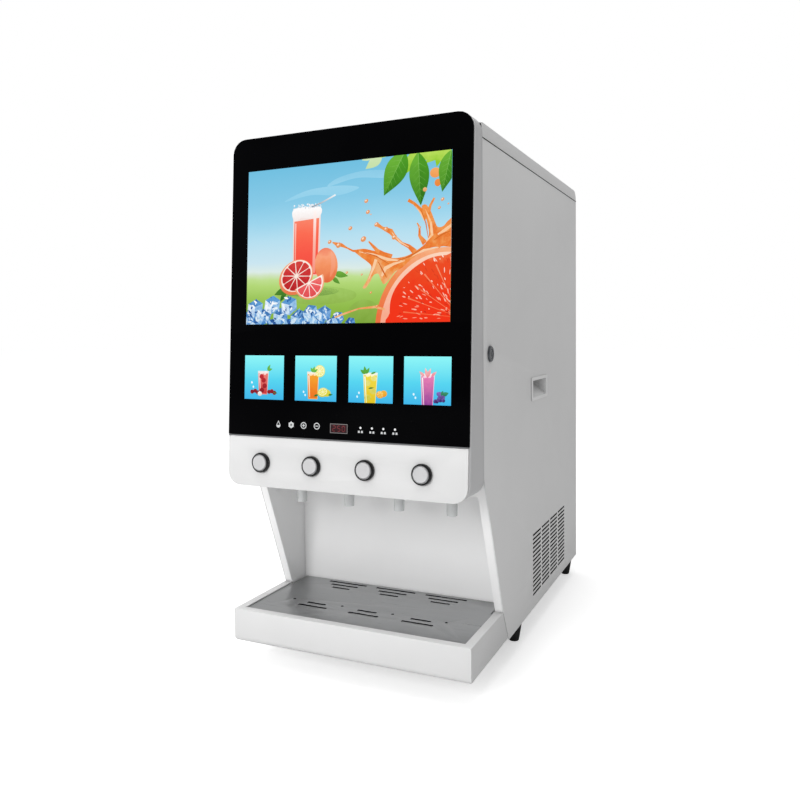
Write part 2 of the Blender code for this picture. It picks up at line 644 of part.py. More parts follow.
def make_door():
    outline = rectangle(-DOOR_HALF, DOOR_HALF, DOOR_LOW_Z, DOOR_TOP_Z, DOOR_CORNER, DOOR_CORNER)
    shell = door_slice("door_shell", outline, GLASS_THICK + GAP)
    door_shell_cutters(shell)
    finish(shell, "door_grey")

    glass_outline = rectangle(-DOOR_HALF, DOOR_HALF, GLASS_LOW_Z, DOOR_TOP_Z, 0, DOOR_CORNER)
    finish(door_slice("front_glass", glass_outline, 0, GLASS_THICK), "black_glass")

    inset = 0.0012
    panel_half = DOOR_HALF - inset
    panel_outline = rectangle(-panel_half, panel_half, DOOR_LOW_Z, PANEL_TOP_Z, DOOR_CORNER - inset)
    panel = door_slice("button_panel", panel_outline, 0, GLASS_THICK)
    for x in FLAVOUR_X:
        cut(panel, rod("panel_hole", BUTTON_HOLE_R, -0.01, 0.01, button_frame(x)))
    finish(panel, "button_white")

    depth = GLASS_THICK + 2 * GAP
    finish(box("display_panel", (-0.184, depth, -0.306), (0.184, 0.0165, -0.044), FACE), "screen")
    finish(box("menu_panel", (-0.184, depth, -0.428), (0.184, 0.0125, -0.345), FACE), "screen")
    finish(box("touch_board", (-0.130, depth, -0.474), (0.130, 0.0075, -0.448), FACE), "board")

    back = rectangle(STILE_X + 0.001, 0.2070, 0.3140, 0.8710, 0.0205, 0.0205)
    finish(prism("door_back_panel", [back], 0.2930, 0.2945, TO_Y), "zinc_sheet")
    seal = rectangle(-0.170, 0.1895, 0.3525, 0.8475, 0.004, 0.004)
    seal_inside = rectangle(-0.164, 0.1835, 0.3585, 0.8415, 0.003, 0.003)
    finish(prism("door_gasket", [seal, seal_inside], 0.2880, 0.2927, TO_Y), "rubber")

    catch = box("door_catch", (0.1800, -0.2927, 0.510), (0.1820, -0.2690, 0.534))
    pin_place = Matrix.Translation((0, -0.2760, LOCK_Z)) @ TO_X
    join(catch, rod("catch_pin", 0.003, 0.181, 0.1892, pin_place, 16))
    join(catch, box("catch_foot", (0.165, -0.2927, 0.510), (0.1805, -0.2907, 0.534)))
    finish(catch, "steel")


def make_buttons():
    """Four push buttons: a bezel through the panel and a sprung cap in it."""
    bezel = [(0, -0.021), (0.0127, -0.021), (0.0127, 0.0060), (0.0133, 0.0066), (0.0150, 0.0060)]
    bezel += [(0.0160, 0.0040), (0.0160, GAP), (0.0139, GAP), (0.0139, -0.024), (0, -0.024)]
    cap = [(0, 0.0078), (0.0105, 0.0078), (0.0117, 0.0072), (0.0122, 0.0060), (0.0122, -0.012), (0, -0.012)]
    for number, x in enumerate(FLAVOUR_X, 1):
        place = button_frame(x)
        finish(turned(f"button_bezel_{number}", bezel, place), "black_plastic")
        finish(turned(f"button_cap_{number}", cap, place), "satin_cap")


# ---------------------------------------------------------------- drip tray


def make_drip_tray():
    seam = 0.0005
    side = [(TRAY_FRONT_Y, TRAY_RIM_Z)]
    side += arc((TRAY_FRONT_Y + TRAY_CORNER, FOOT_HEIGHT + TRAY_CORNER), TRAY_CORNER, 180, 270)
    side += [(SEAM_LOW[0] - seam, FOOT_HEIGHT), (SLANT_LOW[0] - seam, TRAY_RIM_Z)]
    half = HALF_WIDTH - seam
    tray = prism("drip_tray", [side], -half, half, TO_X)
    front = rectangle(-half, half, FOOT_HEIGHT, 0.12, 0.006)
    boolean(tray, "INTERSECT", prism("tray_front_view", [front], 0.1, 0.4, TO_Y))
    rear_y = BAY_BACK_Y - 0.002
    rear_low_z = FOOT_HEIGHT + SHEET + 2 * GAP
    join(tray, box("tray_rear", (-0.1925, -0.215, rear_low_z), (0.1925, rear_y, PLATE_LOW_Z - GAP)))
    basin = box("tray_basin", (-0.1895, -0.3325, 0.0455), (0.1895, rear_y - 0.003, 0.12))
    inner = half - TRAY_RIM
    seat = box("plate_seat", (-inner, TRAY_FRONT_Y + TRAY_RIM, PLATE_LOW_Z - GAP), (inner, -0.1900, 0.12))
    cut(tray, basin, seat)
    finish(tray, "white_sheet")


def make_drip_plate():
    inner, front_y = HALF_WIDTH - 0.0005 - TRAY_RIM - 0.0004, TRAY_FRONT_Y + TRAY_RIM + 0.0004
    rear_y, step_y, rear_half = BAY_BACK_Y - 0.0015, -0.2030, 0.1905
    outline = [(-inner, front_y), (inner, front_y), (inner, step_y), (rear_half, step_y)]
    outline += [(rear_half, rear_y), (-rear_half, rear_y), (-rear_half, step_y), (-inner, step_y)]
    holes = []
    for group in (-1, 0, 1):
        x = group * SLOT_PITCH_X
        for y, length in SLOT_ROWS:
            holes.append(rectangle(x - length / 2, x + length / 2, y - SLOT_WIDTH / 2, y + SLOT_WIDTH / 2))
    holes += [circle((x, -0.2675), 0.0026, 10) for x in FLAVOUR_X]
    finish(prism("drip_plate", [outline] + holes, PLATE_LOW_Z, PLATE_HIGH_Z), "steel")


def main():
    make_base_pan()
    make_side_panel("side_panel_left", -1)
    make_side_panel("side_panel_right", 1)
    make_rear_panel()
    make_top_cover()
    make_front_frame()
    make_bay_liner()
    make_bulkhead()
    make_syrup_shelf()
    make_feet()
    make_grip_cup("grip_cup_left", -1)
    make_grip_cup("grip_cup_right", 1)
    make_hinge_brackets()
    make_lock()
    make_bottles()
    make_pumps()
    make_nozzles()
    make_cooling_tank()
    make_compressor()
    make_condenser()
    make_fan()
    make_control_board()
    make_rear_fittings()
    make_door()
    make_buttons()
    make_drip_tray()
    make_drip_plate()


main()
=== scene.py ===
"""The looks of the countertop drink dispenser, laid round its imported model.

Everything is in metres in the model's own frame: +Z up, the front faces -Y.
"""

import json
import math
import random

import bmesh
import bpy
from mathutils import Matrix, Vector


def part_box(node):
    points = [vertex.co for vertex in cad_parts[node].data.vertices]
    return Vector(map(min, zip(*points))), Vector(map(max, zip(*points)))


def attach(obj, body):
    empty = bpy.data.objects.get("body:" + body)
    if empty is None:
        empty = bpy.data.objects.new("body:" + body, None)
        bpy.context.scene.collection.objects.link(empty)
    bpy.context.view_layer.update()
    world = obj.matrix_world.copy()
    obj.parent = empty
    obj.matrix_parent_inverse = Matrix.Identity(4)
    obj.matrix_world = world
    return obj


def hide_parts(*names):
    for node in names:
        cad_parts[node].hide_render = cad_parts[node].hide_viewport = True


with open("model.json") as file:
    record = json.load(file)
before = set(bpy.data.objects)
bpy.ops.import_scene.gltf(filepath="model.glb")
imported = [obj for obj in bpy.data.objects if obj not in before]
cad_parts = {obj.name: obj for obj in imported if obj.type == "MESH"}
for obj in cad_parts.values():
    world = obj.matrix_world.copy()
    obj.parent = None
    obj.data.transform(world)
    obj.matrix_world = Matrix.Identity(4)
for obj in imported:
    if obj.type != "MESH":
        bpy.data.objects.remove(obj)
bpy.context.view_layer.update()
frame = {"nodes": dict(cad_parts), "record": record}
NODES = frame["nodes"]
FLAVOURS = (1, 2, 3, 4)


# ---------------------------------------------------------------- camera, floor and light

CAMERA_PLACE = (0.5802, -1.3969, 0.5610)
CAMERA_YAW, CAMERA_PITCH, CAMERA_ROLL = 24.66, -2.272, -0.5566
CAMERA_LENS = 34.84
CAMERA_SHIFT_Y = -0.05
FLOOR_SIZE = 40.0
FLOOR_GLOW = 0.52


def place_camera():
    """The view from the front, a little to the right and above the buttons."""
    lens = bpy.data.cameras.new("camera")
    lens.lens = CAMERA_LENS
    lens.sensor_width = 36.0
    lens.shift_y = CAMERA_SHIFT_Y
    camera = bpy.data.objects.new("camera", lens)
    turn = Matrix.Rotation(math.radians(CAMERA_YAW), 4, "Z")
    tilt = Matrix.Rotation(math.radians(90 + CAMERA_PITCH), 4, "X")
    roll = Matrix.Rotation(math.radians(CAMERA_ROLL), 4, "Z")
    camera.matrix_world = Matrix.Translation(CAMERA_PLACE) @ turn @ tilt @ roll
    bpy.context.scene.collection.objects.link(camera)
    bpy.context.scene.camera = camera


def softbox(name, place, aim, size, power):
    """A square area light at place, turned towards aim."""
    light = bpy.data.lights.new(name, "AREA")
    light.size = size
    light.energy = power
    lamp = bpy.data.objects.new(name, light)
    lamp.location = place
    lamp.rotation_euler = (Vector(aim) - Vector(place)).to_track_quat("-Z", "Y").to_euler()
    lamp.visible_glossy = False
    bpy.context.scene.collection.objects.link(lamp)


def light_the_room():
    """A white room lit from the front and above, dimmer to the right, and plain white where it's seen."""
    world = bpy.data.worlds.new("room")
    world.use_nodes = True
    world.node_tree.nodes.clear()
    w = Wiring(world.node_tree)
    towards = w.add("ShaderNodeSeparateXYZ", {0: w.add("ShaderNodeTexCoord").outputs["Generated"]})
    from_front = w.rescale(towards.outputs["Y"], 0.7, -0.8, 0.68, 0.66)
    from_left = w.rescale(towards.outputs["X"], 0.9, -0.1, 0.60, 1.0)
    level = w.add("ShaderNodeMath", {0: from_front, 1: from_left}, operation="MULTIPLY")
    seen = w.add("ShaderNodeLightPath").outputs["Is Camera Ray"]
    strength = w.add("ShaderNodeMix", {0: seen, 2: level, 3: 1.0}, data_type="FLOAT")
    sky = w.add("ShaderNodeBackground", {"Color": (1.0, 1.0, 1.0, 1.0), "Strength": strength})
    w.feed(w.add("ShaderNodeOutputWorld").inputs["Surface"], sky)
    bpy.context.scene.world = world
    softbox("overhead_softbox", (-0.2, -0.3, 2.7), (0, 0, 0.4), 2.0, 31)
    softbox("front_softbox", (-0.45, -2.4, 1.12), (0, -0.1, 0.25), 0.9, 26)
    bpy.context.scene.view_settings.view_transform = "Standard"


# ---------------------------------------------------------------- node trees


class Wiring:
    """A shader tree being written. A value may be a number, a colour, a socket or a node."""

    def __init__(self, tree):
        self.tree = tree

    def feed(self, socket, value):
        """Links the value to the socket, or sets it as its default."""
        if isinstance(value, bpy.types.Node):
            value = value.outputs[0]
        if isinstance(value, bpy.types.NodeSocket):
            self.tree.links.new(value, socket)
        else:
            socket.default_value = value

    def add(self, kind, inputs=None, **settings):
        """A new node with its settings and its fed inputs."""
        node = self.tree.nodes.new(kind)
        for name, value in settings.items():
            setattr(node, name, value)
        for key, value in (inputs or {}).items():
            self.feed(node.inputs[key], value)
        return node

    def group(self, name, **inputs):
        """The outputs of one of the groups made below."""
        return self.add("ShaderNodeGroup", inputs, node_tree=bpy.data.node_groups[name]).outputs

    def place(self):
        """The surface's own coordinates, in metres at rest."""
        return self.add("ShaderNodeTexCoord").outputs["Object"]

    def maths(self, operation, first, second=0.0):
        """Masks added, subtracted or multiplied stay between 0 and 1."""
        node = self.add("ShaderNodeMath", {0: first, 1: second}, operation=operation)
        node.use_clamp = operation in ("MULTIPLY", "ADD", "SUBTRACT")
        return node.outputs[0]

    def rescale(self, value, low, high, new_low=0.0, new_high=1.0):
        """A value mapped from one range to another, and kept inside it."""
        inputs = {"Value": value, "From Min": low, "From Max": high}
        inputs.update({"To Min": new_low, "To Max": new_high})
        return self.add("ShaderNodeMapRange", inputs).outputs[0]

    def mix(self, amount, first, second):
        """The first colour where the amount is 0, the second where it is 1."""
        mixer = self.add("ShaderNodeMix", data_type="RGBA")
        self.feed(mixer.inputs[0], amount)
        self.feed(mixer.inputs[6], first)
        self.feed(mixer.inputs[7], second)
        return mixer.outputs[2]

    def ramp(self, value, stops):
        """A colour ramp with the given (position, colour) stops."""
        node = self.add("ShaderNodeValToRGB", {0: value})
        elements = node.color_ramp.elements
        while len(elements) < len(stops):
            elements.new(0.5)
        for element, (position, colour) in zip(elements, stops):
            element.position = position
            element.color = colour
        return node.outputs[0]

    def noise(self, vector, scale, detail=2.0, roughness=0.5):
        """Soft noise between 0 and 1."""
        inputs = {"Vector": vector, "Scale": scale, "Detail": detail, "Roughness": roughness}
        return self.add("ShaderNodeTexNoise", inputs).outputs[0]

    def stretched(self, vector, amounts):
        """A vector scaled by its own amount along each axis."""
        inputs = {0: vector, 1: amounts}
        return self.add("ShaderNodeVectorMath", inputs, operation="MULTIPLY").outputs[0]

    def bump(self, height, distance, strength=1.0):
        """A normal tilted by a height field."""
        inputs = {"Height": height, "Distance": distance, "Strength": strength}
        return self.add("ShaderNodeBump", inputs).outputs[0]


def tone(hex_code):
    """A colour written as six hex digits, made linear."""
    parts = [int(hex_code[i:i + 2], 16) / 255 for i in (0, 2, 4)]
    linear = [p / 12.92 if p <= 0.04045 else ((p + 0.055) / 1.055) ** 2.4 for p in parts]
    return (*linear, 1.0)


def scaled(colour, factor):
    """A colour made lighter or darker by a factor."""
    return (*(min(1.0, channel * factor) for channel in colour[:3]), 1.0)


def new_group(name, inputs, outputs):
    """A shader node group with float or vector inputs, its wiring, and its two end nodes."""
    tree = bpy.data.node_groups.new(name, "ShaderNodeTree")
    for socket_name, default in inputs.items():
        kind = "NodeSocketFloat" if isinstance(default, float) else "NodeSocketVector"
        socket = tree.interface.new_socket(socket_name, in_out="INPUT", socket_type=kind)
        socket.default_value = default
    for socket_name in outputs:
        tree.interface.new_socket(socket_name, in_out="OUTPUT", socket_type="NodeSocketFloat")
    wiring = Wiring(tree)
    return wiring, wiring.add("NodeGroupInput").outputs, wiring.add("NodeGroupOutput").inputs


def make_powder_grain():
    """Sprayed or moulded skin: a fine orange peel, and a broad drift of tone."""
    g, given, result = new_group("powder_grain", {"Scale": 1400.0}, ["Height", "Drift"])
    place = g.place()
    coarse = g.noise(place, given["Scale"], 2.0)
    fine = g.noise(place, g.maths("MULTIPLY_ADD", given["Scale"], 3.1), 1.0)
    g.feed(result["Height"], g.add("ShaderNodeMath", {0: coarse, 1: fine}, operation="ADD"))
    g.feed(result["Drift"], g.rescale(g.noise(place, 7.0, 3.0), 0.3, 0.7))


def make_edge_wear():
    """Where the surface turns a corner, broken up so that the wear isn't even."""
    g, given, result = new_group("edge_wear", {"Radius": 0.001, "Patches": 90.0}, ["Mask"])
    rounded = g.add("ShaderNodeBevel", {"Radius": given["Radius"]}, samples=6)
    flat = g.add("ShaderNodeNewGeometry").outputs["Normal"]
    same = g.add("ShaderNodeVectorMath", {0: rounded, 1: flat}, operation="DOT_PRODUCT")
    turned = g.rescale(same.outputs["Value"], 0.995, 0.85)
    patches = g.rescale(g.noise(g.place(), given["Patches"], 4.0, 0.65), 0.35, 0.62)
    g.feed(result["Mask"], g.maths("MULTIPLY", turned, patches))


def make_crevice_dust_and_shade():
    """Dust and painted shade in corners and under edges: a mask that is strong where ambient occlusion is
    high.
    """
    g, given, result = new_group("crevice_dust_and_shade", {"Reach": 0.01}, ["Mask"])
    open_sky = g.add("ShaderNodeAmbientOcclusion", {"Distance": given["Reach"]}, samples=6)
    shut = g.rescale(open_sky.outputs["AO"], 0.85, 0.25)
    speckle = g.rescale(g.noise(g.place(), 260.0, 3.0), 0.3, 0.7, 0.55, 1.0)
    g.feed(result["Mask"], g.maths("MULTIPLY", shut, speckle))


def make_hand_marks():
    """Smears left by wiping and by hands: broad patches crossed with thin streaks."""
    g, given, result = new_group("hand_marks", {"Scale": 9.0}, ["Mask"])
    place = g.place()
    patches = g.rescale(g.noise(place, given["Scale"], 4.0, 0.6), 0.42, 0.72)
    wiped = g.stretched(place, (60.0, 60.0, 7.0))
    streaks = g.rescale(g.noise(wiped, 1.6, 3.0), 0.35, 0.75)
    g.feed(result["Mask"], g.maths("MULTIPLY", patches, streaks))


def make_brushed_lines():
    """Fine parallel scratches of brushed metal, long in one direction."""
    inputs = {"Stretch": (10.0, 900.0, 900.0)}
    g, given, result = new_group("brushed_lines", inputs, ["Line", "Height"])
    drawn = g.stretched(g.place(), given["Stretch"])
    fine = g.noise(drawn, 1.0, 3.0, 0.7)
    broad = g.noise(drawn, 0.12, 2.0)
    both = g.add("ShaderNodeMath", {0: fine, 1: broad}, operation="ADD")
    g.feed(result["Line"], g.rescale(both, 0.75, 1.25))
    g.feed(result["Height"], fine)


# ---------------------------------------------------------------- finishes


def new_material(name, metallic=0.0, roughness=0.5, specular=0.5, ior=1.5):
    """An empty material with one surface shader: the material, its wiring and the shader's inputs."""
    material = bpy.data.materials.new(name)
    material.use_nodes = True
    tree = material.node_tree
    tree.nodes.clear()
    w = Wiring(tree)
    shader = w.add("ShaderNodeBsdfPrincipled")
    w.feed(w.add("ShaderNodeOutputMaterial").inputs["Surface"], shader)
    shader.inputs["Metallic"].default_value = metallic
    shader.inputs["Roughness"].default_value = roughness
    shader.inputs["Specular IOR Level"].default_value = specular
    shader.inputs["IOR"].default_value = ior
    return material, w, shader.inputs


def cut_walls(w, normal_axis, first_axis, first_range, second_axis, second_range):
    """A mask of the cut walls of the holes through a sheet, inside one stretch of it, where painted shade
    goes.
    """
    facing = w.add("ShaderNodeSeparateXYZ", {0: w.add("ShaderNodeNewGeometry").outputs["True Normal"]})
    flat = w.maths("ABSOLUTE", facing.outputs[normal_axis])
    mask = w.maths("LESS_THAN", flat, 0.5)
    where = w.add("ShaderNodeSeparateXYZ", {0: w.place()})
    for axis, (low, high) in ((first_axis, first_range), (second_axis, second_range)):
        mask = w.maths("MULTIPLY", mask, w.maths("GREATER_THAN", where.outputs[axis], low))
        mask = w.maths("MULTIPLY", mask, w.maths("LESS_THAN", where.outputs[axis], high))
    return mask


def painted_sheet(name, colour, roughness=0.42, wear=0.35, reach=0.006, shade=0.35, holes=None):
    """Powder coat on folded steel sheet: orange peel, paler worn edges, painted shade in the seams, and the
    cut walls of any holes painted near black as shade.
    """
    material, w, skin = new_material(name, specular=0.35)
    grain = w.group("powder_grain", Scale=1500.0)
    base = w.mix(grain["Drift"], scaled(colour, 0.985), scaled(colour, 1.012))
    worn = w.group("edge_wear", Radius=0.0009)["Mask"]
    base = w.mix(w.maths("MULTIPLY", worn, wear), base, scaled(colour, 1.35))
    # Painted shade: seams and corners darkened towards a tenth of the colour.
    dust_and_shade = w.group("crevice_dust_and_shade", Reach=reach)["Mask"]
    base = w.mix(w.maths("MULTIPLY", dust_and_shade, shade), base, scaled(colour, 0.1))
    # Painted shade: the cut walls of the holes painted near black.
    if holes:
        base = w.mix(cut_walls(w, *holes), base, tone("0a0a0b"))
    w.feed(skin["Base Color"], base)
    marks = w.group("hand_marks", Scale=5.0)["Mask"]
    w.feed(skin["Roughness"], w.rescale(marks, 0.0, 1.0, roughness + 0.03, roughness - 0.08))
    w.feed(skin["Normal"], w.bump(grain["Height"], 0.00006, 0.5))
    return material


def moulded_plastic(name, colour, roughness=0.3, grain=2200.0, depth=0.00003, specular=0.4,
                    reach=0.004, shade=0.3):
    """Injection-moulded plastic: a fine even skin, faint flow tone, scuffed edges, shaded hollows."""
    material, w, skin = new_material(name, specular=specular)
    skin_grain = w.group("powder_grain", Scale=grain)
    base = w.mix(skin_grain["Drift"], scaled(colour, 0.975), scaled(colour, 1.02))
    # Painted shade: hollows darkened towards three tenths of the colour.
    dust_and_shade = w.group("crevice_dust_and_shade", Reach=reach)["Mask"]
    base = w.mix(w.maths("MULTIPLY", dust_and_shade, shade), base, scaled(colour, 0.3))
    scuffs = w.group("edge_wear", Radius=0.0006, Patches=140.0)["Mask"]
    base = w.mix(w.maths("MULTIPLY", scuffs, 0.25), base, scaled(colour, 1.25))
    w.feed(skin["Base Color"], base)
    marks = w.group("hand_marks", Scale=11.0)["Mask"]
    w.feed(skin["Roughness"], w.rescale(marks, 0.0, 1.0, roughness, roughness + 0.09))
    w.feed(skin["Normal"], w.bump(skin_grain["Height"], depth, 0.4))
    return material


def black_glass():
    """Tempered glass printed black behind: deep, smooth, with a trace of wiping."""
    material, w, skin = new_material("black_glass", roughness=0.04, specular=0.02)
    drift = w.group("powder_grain", Scale=300.0)["Drift"]
    edge = w.group("edge_wear", Radius=0.0012)["Mask"]
    base = w.mix(drift, tone("010102"), tone("030304"))
    w.feed(skin["Base Color"], w.mix(w.maths("MULTIPLY", edge, 0.2), base, tone("3b3f42")))
    marks = w.group("hand_marks", Scale=6.0)["Mask"]
    w.feed(skin["Roughness"], w.rescale(marks, 0.0, 1.0, 0.03, 0.14))
    return material


def metal(name, colour, roughness, stretch, depth=0.00002, contrast=0.12, reach=0.003, shade=0.5,
          holes=None):
    """Drawn or brushed metal: lines along one direction change its tone and its gloss."""
    material, w, skin = new_material(name, metallic=1.0)
    lines = w.group("brushed_lines", Stretch=stretch)
    base = w.mix(lines["Line"], scaled(colour, 1 - contrast), scaled(colour, 1 + contrast))
    marks = w.group("hand_marks", Scale=14.0)["Mask"]
    base = w.mix(w.maths("MULTIPLY", marks, 0.12), base, scaled(colour, 0.7))
    # Painted shade: crevices darkened almost to black.
    dust_and_shade = w.group("crevice_dust_and_shade", Reach=reach)["Mask"]
    base = w.mix(w.maths("MULTIPLY", dust_and_shade, shade), base, scaled(colour, 0.06))
    # Painted shade: the cut walls of the holes painted near black.
    if holes:
        base = w.mix(cut_walls(w, *holes), base, tone("0a0a0b"))
    w.feed(skin["Base Color"], base)
    low, high = roughness * 0.8, roughness * 1.25
    w.feed(skin["Roughness"], w.rescale(lines["Line"], 0.0, 1.0, low, high))
    w.feed(skin["Normal"], w.bump(lines["Height"], depth, 0.35))
    return material


def zinc_sheet():
    """Zinc-coated sheet: large faint spangles in slightly different greys."""
    material, w, skin = new_material("zinc_sheet", metallic=0.85)
    cells = w.add("ShaderNodeTexVoronoi", {"Vector": w.place(), "Scale": 110.0})
    flake = w.add("ShaderNodeSeparateColor", {0: cells.outputs["Color"]}).outputs[0]
    # Painted shade: corners darkened towards a dark grey.
    dust_and_shade = w.group("crevice_dust_and_shade", Reach=0.008)["Mask"]
    base = w.mix(flake, tone("a5a8aa"), tone("c2c5c7"))
    w.feed(skin["Base Color"], w.mix(w.maths("MULTIPLY", dust_and_shade, 0.4), base, tone("54575a")))
    w.feed(skin["Roughness"], w.rescale(flake, 0.0, 1.0, 0.34, 0.5))
    return material


def rubber():
    """Dark matt rubber with dust in its corners."""
    material, w, skin = new_material("rubber", specular=0.25)
    grain = w.group("powder_grain", Scale=900.0)
    dust_and_shade = w.group("crevice_dust_and_shade", Reach=0.006)["Mask"]
    base = w.mix(grain["Drift"], tone("1d1d1e"), tone("29292a"))
    w.feed(skin["Base Color"], w.mix(w.maths("MULTIPLY", dust_and_shade, 0.4), base, tone("3a3936")))
    w.feed(skin["Roughness"], w.rescale(grain["Drift"], 0.0, 1.0, 0.62, 0.78))
    w.feed(skin["Normal"], w.bump(grain["Height"], 0.0001, 0.4))
    return material


def door_sides(colour):
    """The door's grey shell: a painted highlight in a narrow paler band behind the glass, and painted shade a
    little darker at the back.
    """
    material, w, skin = new_material("door_grey", specular=0.3)
    grain = w.group("powder_grain", Scale=1600.0)
    across = w.add("ShaderNodeSeparateXYZ", {0: w.place()})
    lean = w.add("ShaderNodeMath", {0: across.outputs["Z"], 1: -0.058, 2: across.outputs["Y"]},
                 operation="MULTIPLY_ADD")
    # Painted highlight: a paler narrow band just behind the glass.
    behind = w.rescale(lean, -0.3755, -0.3690)
    base = w.mix(behind, scaled(colour, 1.28), colour)
    base = w.mix(w.maths("MULTIPLY", grain["Drift"], 0.3), base, scaled(colour, 0.94))
    # Painted shade: a little darker towards the rear edge.
    rear = w.rescale(across.outputs["Y"], -0.300, -0.2915)
    base = w.mix(w.maths("MULTIPLY", rear, 0.45), base, scaled(colour, 0.75))
    worn = w.group("edge_wear", Radius=0.0008)["Mask"]
    w.feed(skin["Base Color"], w.mix(w.maths("MULTIPLY", worn, 0.2), base, scaled(colour, 1.3)))
    marks = w.group("hand_marks", Scale=7.0)["Mask"]
    w.feed(skin["Roughness"], w.rescale(marks, 0.0, 1.0, 0.42, 0.36))
    w.feed(skin["Normal"], w.bump(grain["Height"], 0.00005, 0.4))
    return material


def clear_plastic(name, colour, roughness, transmission):
    """Translucent moulded plastic with a faint drift of tone."""
    material, w, skin = new_material(name, ior=1.46)
    skin["Transmission Weight"].default_value = transmission
    grain = w.group("powder_grain", Scale=700.0)
    base = w.mix(grain["Drift"], scaled(colour, 0.93), scaled(colour, 1.04))
    w.feed(skin["Base Color"], base)
    w.feed(skin["Roughness"], w.rescale(grain["Drift"], 0.0, 1.0, roughness, roughness + 0.08))
    w.feed(skin["Normal"], w.bump(grain["Height"], 0.00003, 0.3))
    return material


def filled_bottle(name, drink, fill_z):
    """Milky bottle wall that takes the concentrate's colour up to the level inside."""
    material, w, skin = new_material(name, roughness=0.36, specular=0.4)
    height = w.add("ShaderNodeSeparateXYZ", {0: w.place()}).outputs["Z"]
    grain = w.group("powder_grain", Scale=500.0)
    ripple = w.rescale(grain["Drift"], 0.0, 1.0, -0.0015, 0.0015)
    surface = w.add("ShaderNodeMath", {0: height, 1: ripple}, operation="ADD")
    full = w.rescale(surface, fill_z + 0.002, fill_z - 0.002)
    thick = w.mix(grain["Drift"], scaled(drink, 0.85), scaled(drink, 1.08))
    w.feed(skin["Base Color"], w.mix(w.maths("MULTIPLY", full, 0.88), tone("e9e8e2"), thick))
    w.feed(skin["Roughness"], w.rescale(grain["Drift"], 0.0, 1.0, 0.3, 0.42))
    w.feed(skin["Normal"], w.bump(grain["Height"], 0.00005, 0.4))
    return material


def circuit_board():
    """Green lacquer over fine copper tracks."""
    material, w, skin = new_material("circuit_board", roughness=0.3)
    tracks = w.add("ShaderNodeTexBrick", {"Vector": w.place(), "Scale": 90.0}).outputs["Fac"]
    drift = w.group("powder_grain", Scale=600.0)["Drift"]
    lacquer = w.mix(drift, tone("0d5a2c"), tone("136b37"))
    w.feed(skin["Base Color"], w.mix(tracks, lacquer, tone("2a8f4d")))
    w.feed(skin["Roughness"], w.rescale(tracks, 0.0, 1.0, 0.28, 0.42))
    return material


DRINKS = (tone("e2472c"), tone("f08a24"), tone("f2bb2a"), tone("d62f9c"))
BRUSHED_ALONG_X = (10.0, 900.0, 900.0)
BRUSHED_ALONG_Z = (700.0, 700.0, 9.0)

# Where a sheet has holes, whose cut walls get painted shade: the axis that it faces, then two axes and the
# stretch along each.
VENT_HOLES = ("X", "Y", (-0.02, 0.256), "Z", (0.055, 0.19))
DRAIN_HOLES = ("Z", "X", (-0.16, 0.16), "Y", (-0.30, -0.15))


def special_finishes():
    """Nodes whose finish differs from their slot's usual one."""
    dark_nickel = metal("dark_nickel", tone("63666a"), 0.24, (12.0, 500.0, 500.0))
    # Painted shade: the tray's basin darkened strongly wherever the plate or its walls close over it.
    tray = moulded_plastic("tray_plastic", tone("d9d9d9"), 0.3, reach=0.045, shade=0.95)
    # Painted shade: the deep insides of the grip cups darkened.
    cup = moulded_plastic("grip_plastic", tone("f0f0f0"), 0.32, reach=0.03, shade=0.85)
    # The condenser and fan shroud are finished near black, partly as painted shade so that the vents look
    # dark behind.
    fins = painted_sheet("black_fins_vent_shade", tone("141516"), 0.6, 0.1)
    # Painted shade: the vent slot walls of the side sheets painted near black.
    vented = painted_sheet("vented_side", tone("e5e5e5"), holes=VENT_HOLES)
    # Painted shade: the slot walls of the drip plate painted near black, and its crevices darkened.
    plate = metal("drip_plate_steel", tone("a8a9aa"), 0.34, BRUSHED_ALONG_X, contrast=0.07,
                  reach=0.008, holes=DRAIN_HOLES)
    return {"lock_housing": dark_nickel, "lock_cylinder": dark_nickel, "drip_tray": tray, "condenser": fins,
            "fan_shroud": fins, "grip_cup_left": cup, "grip_cup_right": cup,
            "side_panel_left": vented, "side_panel_right": vented, "drip_plate": plate}


def make_finishes():
    """One finish for each material slot of the record."""
    return {
        "zinc_sheet": zinc_sheet(),
        "grey_enamel": painted_sheet("grey_enamel", tone("e5e5e5")),
        "white_enamel": painted_sheet("white_enamel", tone("f8f8f8"), 0.3, 0.1),
        "white_plastic": moulded_plastic("white_plastic", tone("d6d6d6"), 0.28, shade=0.15),
        "door_grey": door_sides(tone("c8c8c9")),
        "black_glass": black_glass(),
        "black_plastic": moulded_plastic("black_plastic", tone("1c1c1e"), 0.42, 1500.0, 0.00006),
        "silver_plastic": moulded_plastic("silver_plastic", tone("c3c3c4"), 0.22, shade=0.2),
        "brushed_steel": metal("brushed_steel", tone("b9babb"), 0.34, BRUSHED_ALONG_X),
        "chrome": metal("chrome", tone("dedfe1"), 0.09, BRUSHED_ALONG_Z, 0.000005, 0.03),
        "rubber": rubber(),
        "clear_tube": clear_plastic("clear_tube", tone("eef0f0"), 0.2, 0.3),
        "bottle_plastic": filled_bottle("bottle_plastic", DRINKS[0], 0.66),
        "foam_case": moulded_plastic("foam_case", tone("dedcd2"), 0.6, 900.0, 0.0002),
        "compressor_paint": painted_sheet("compressor_paint", tone("1f1f21"), 0.35, 0.5),
        "brass": metal("brass", tone("d9b26a"), 0.22, BRUSHED_ALONG_Z),
        "circuit_board": circuit_board(),
        "screen": moulded_plastic("screen_back", tone("23272b"), 0.3),
    }


# ---------------------------------------------------------------- shape helpers

EDGE_ANGLE = math.radians(30)


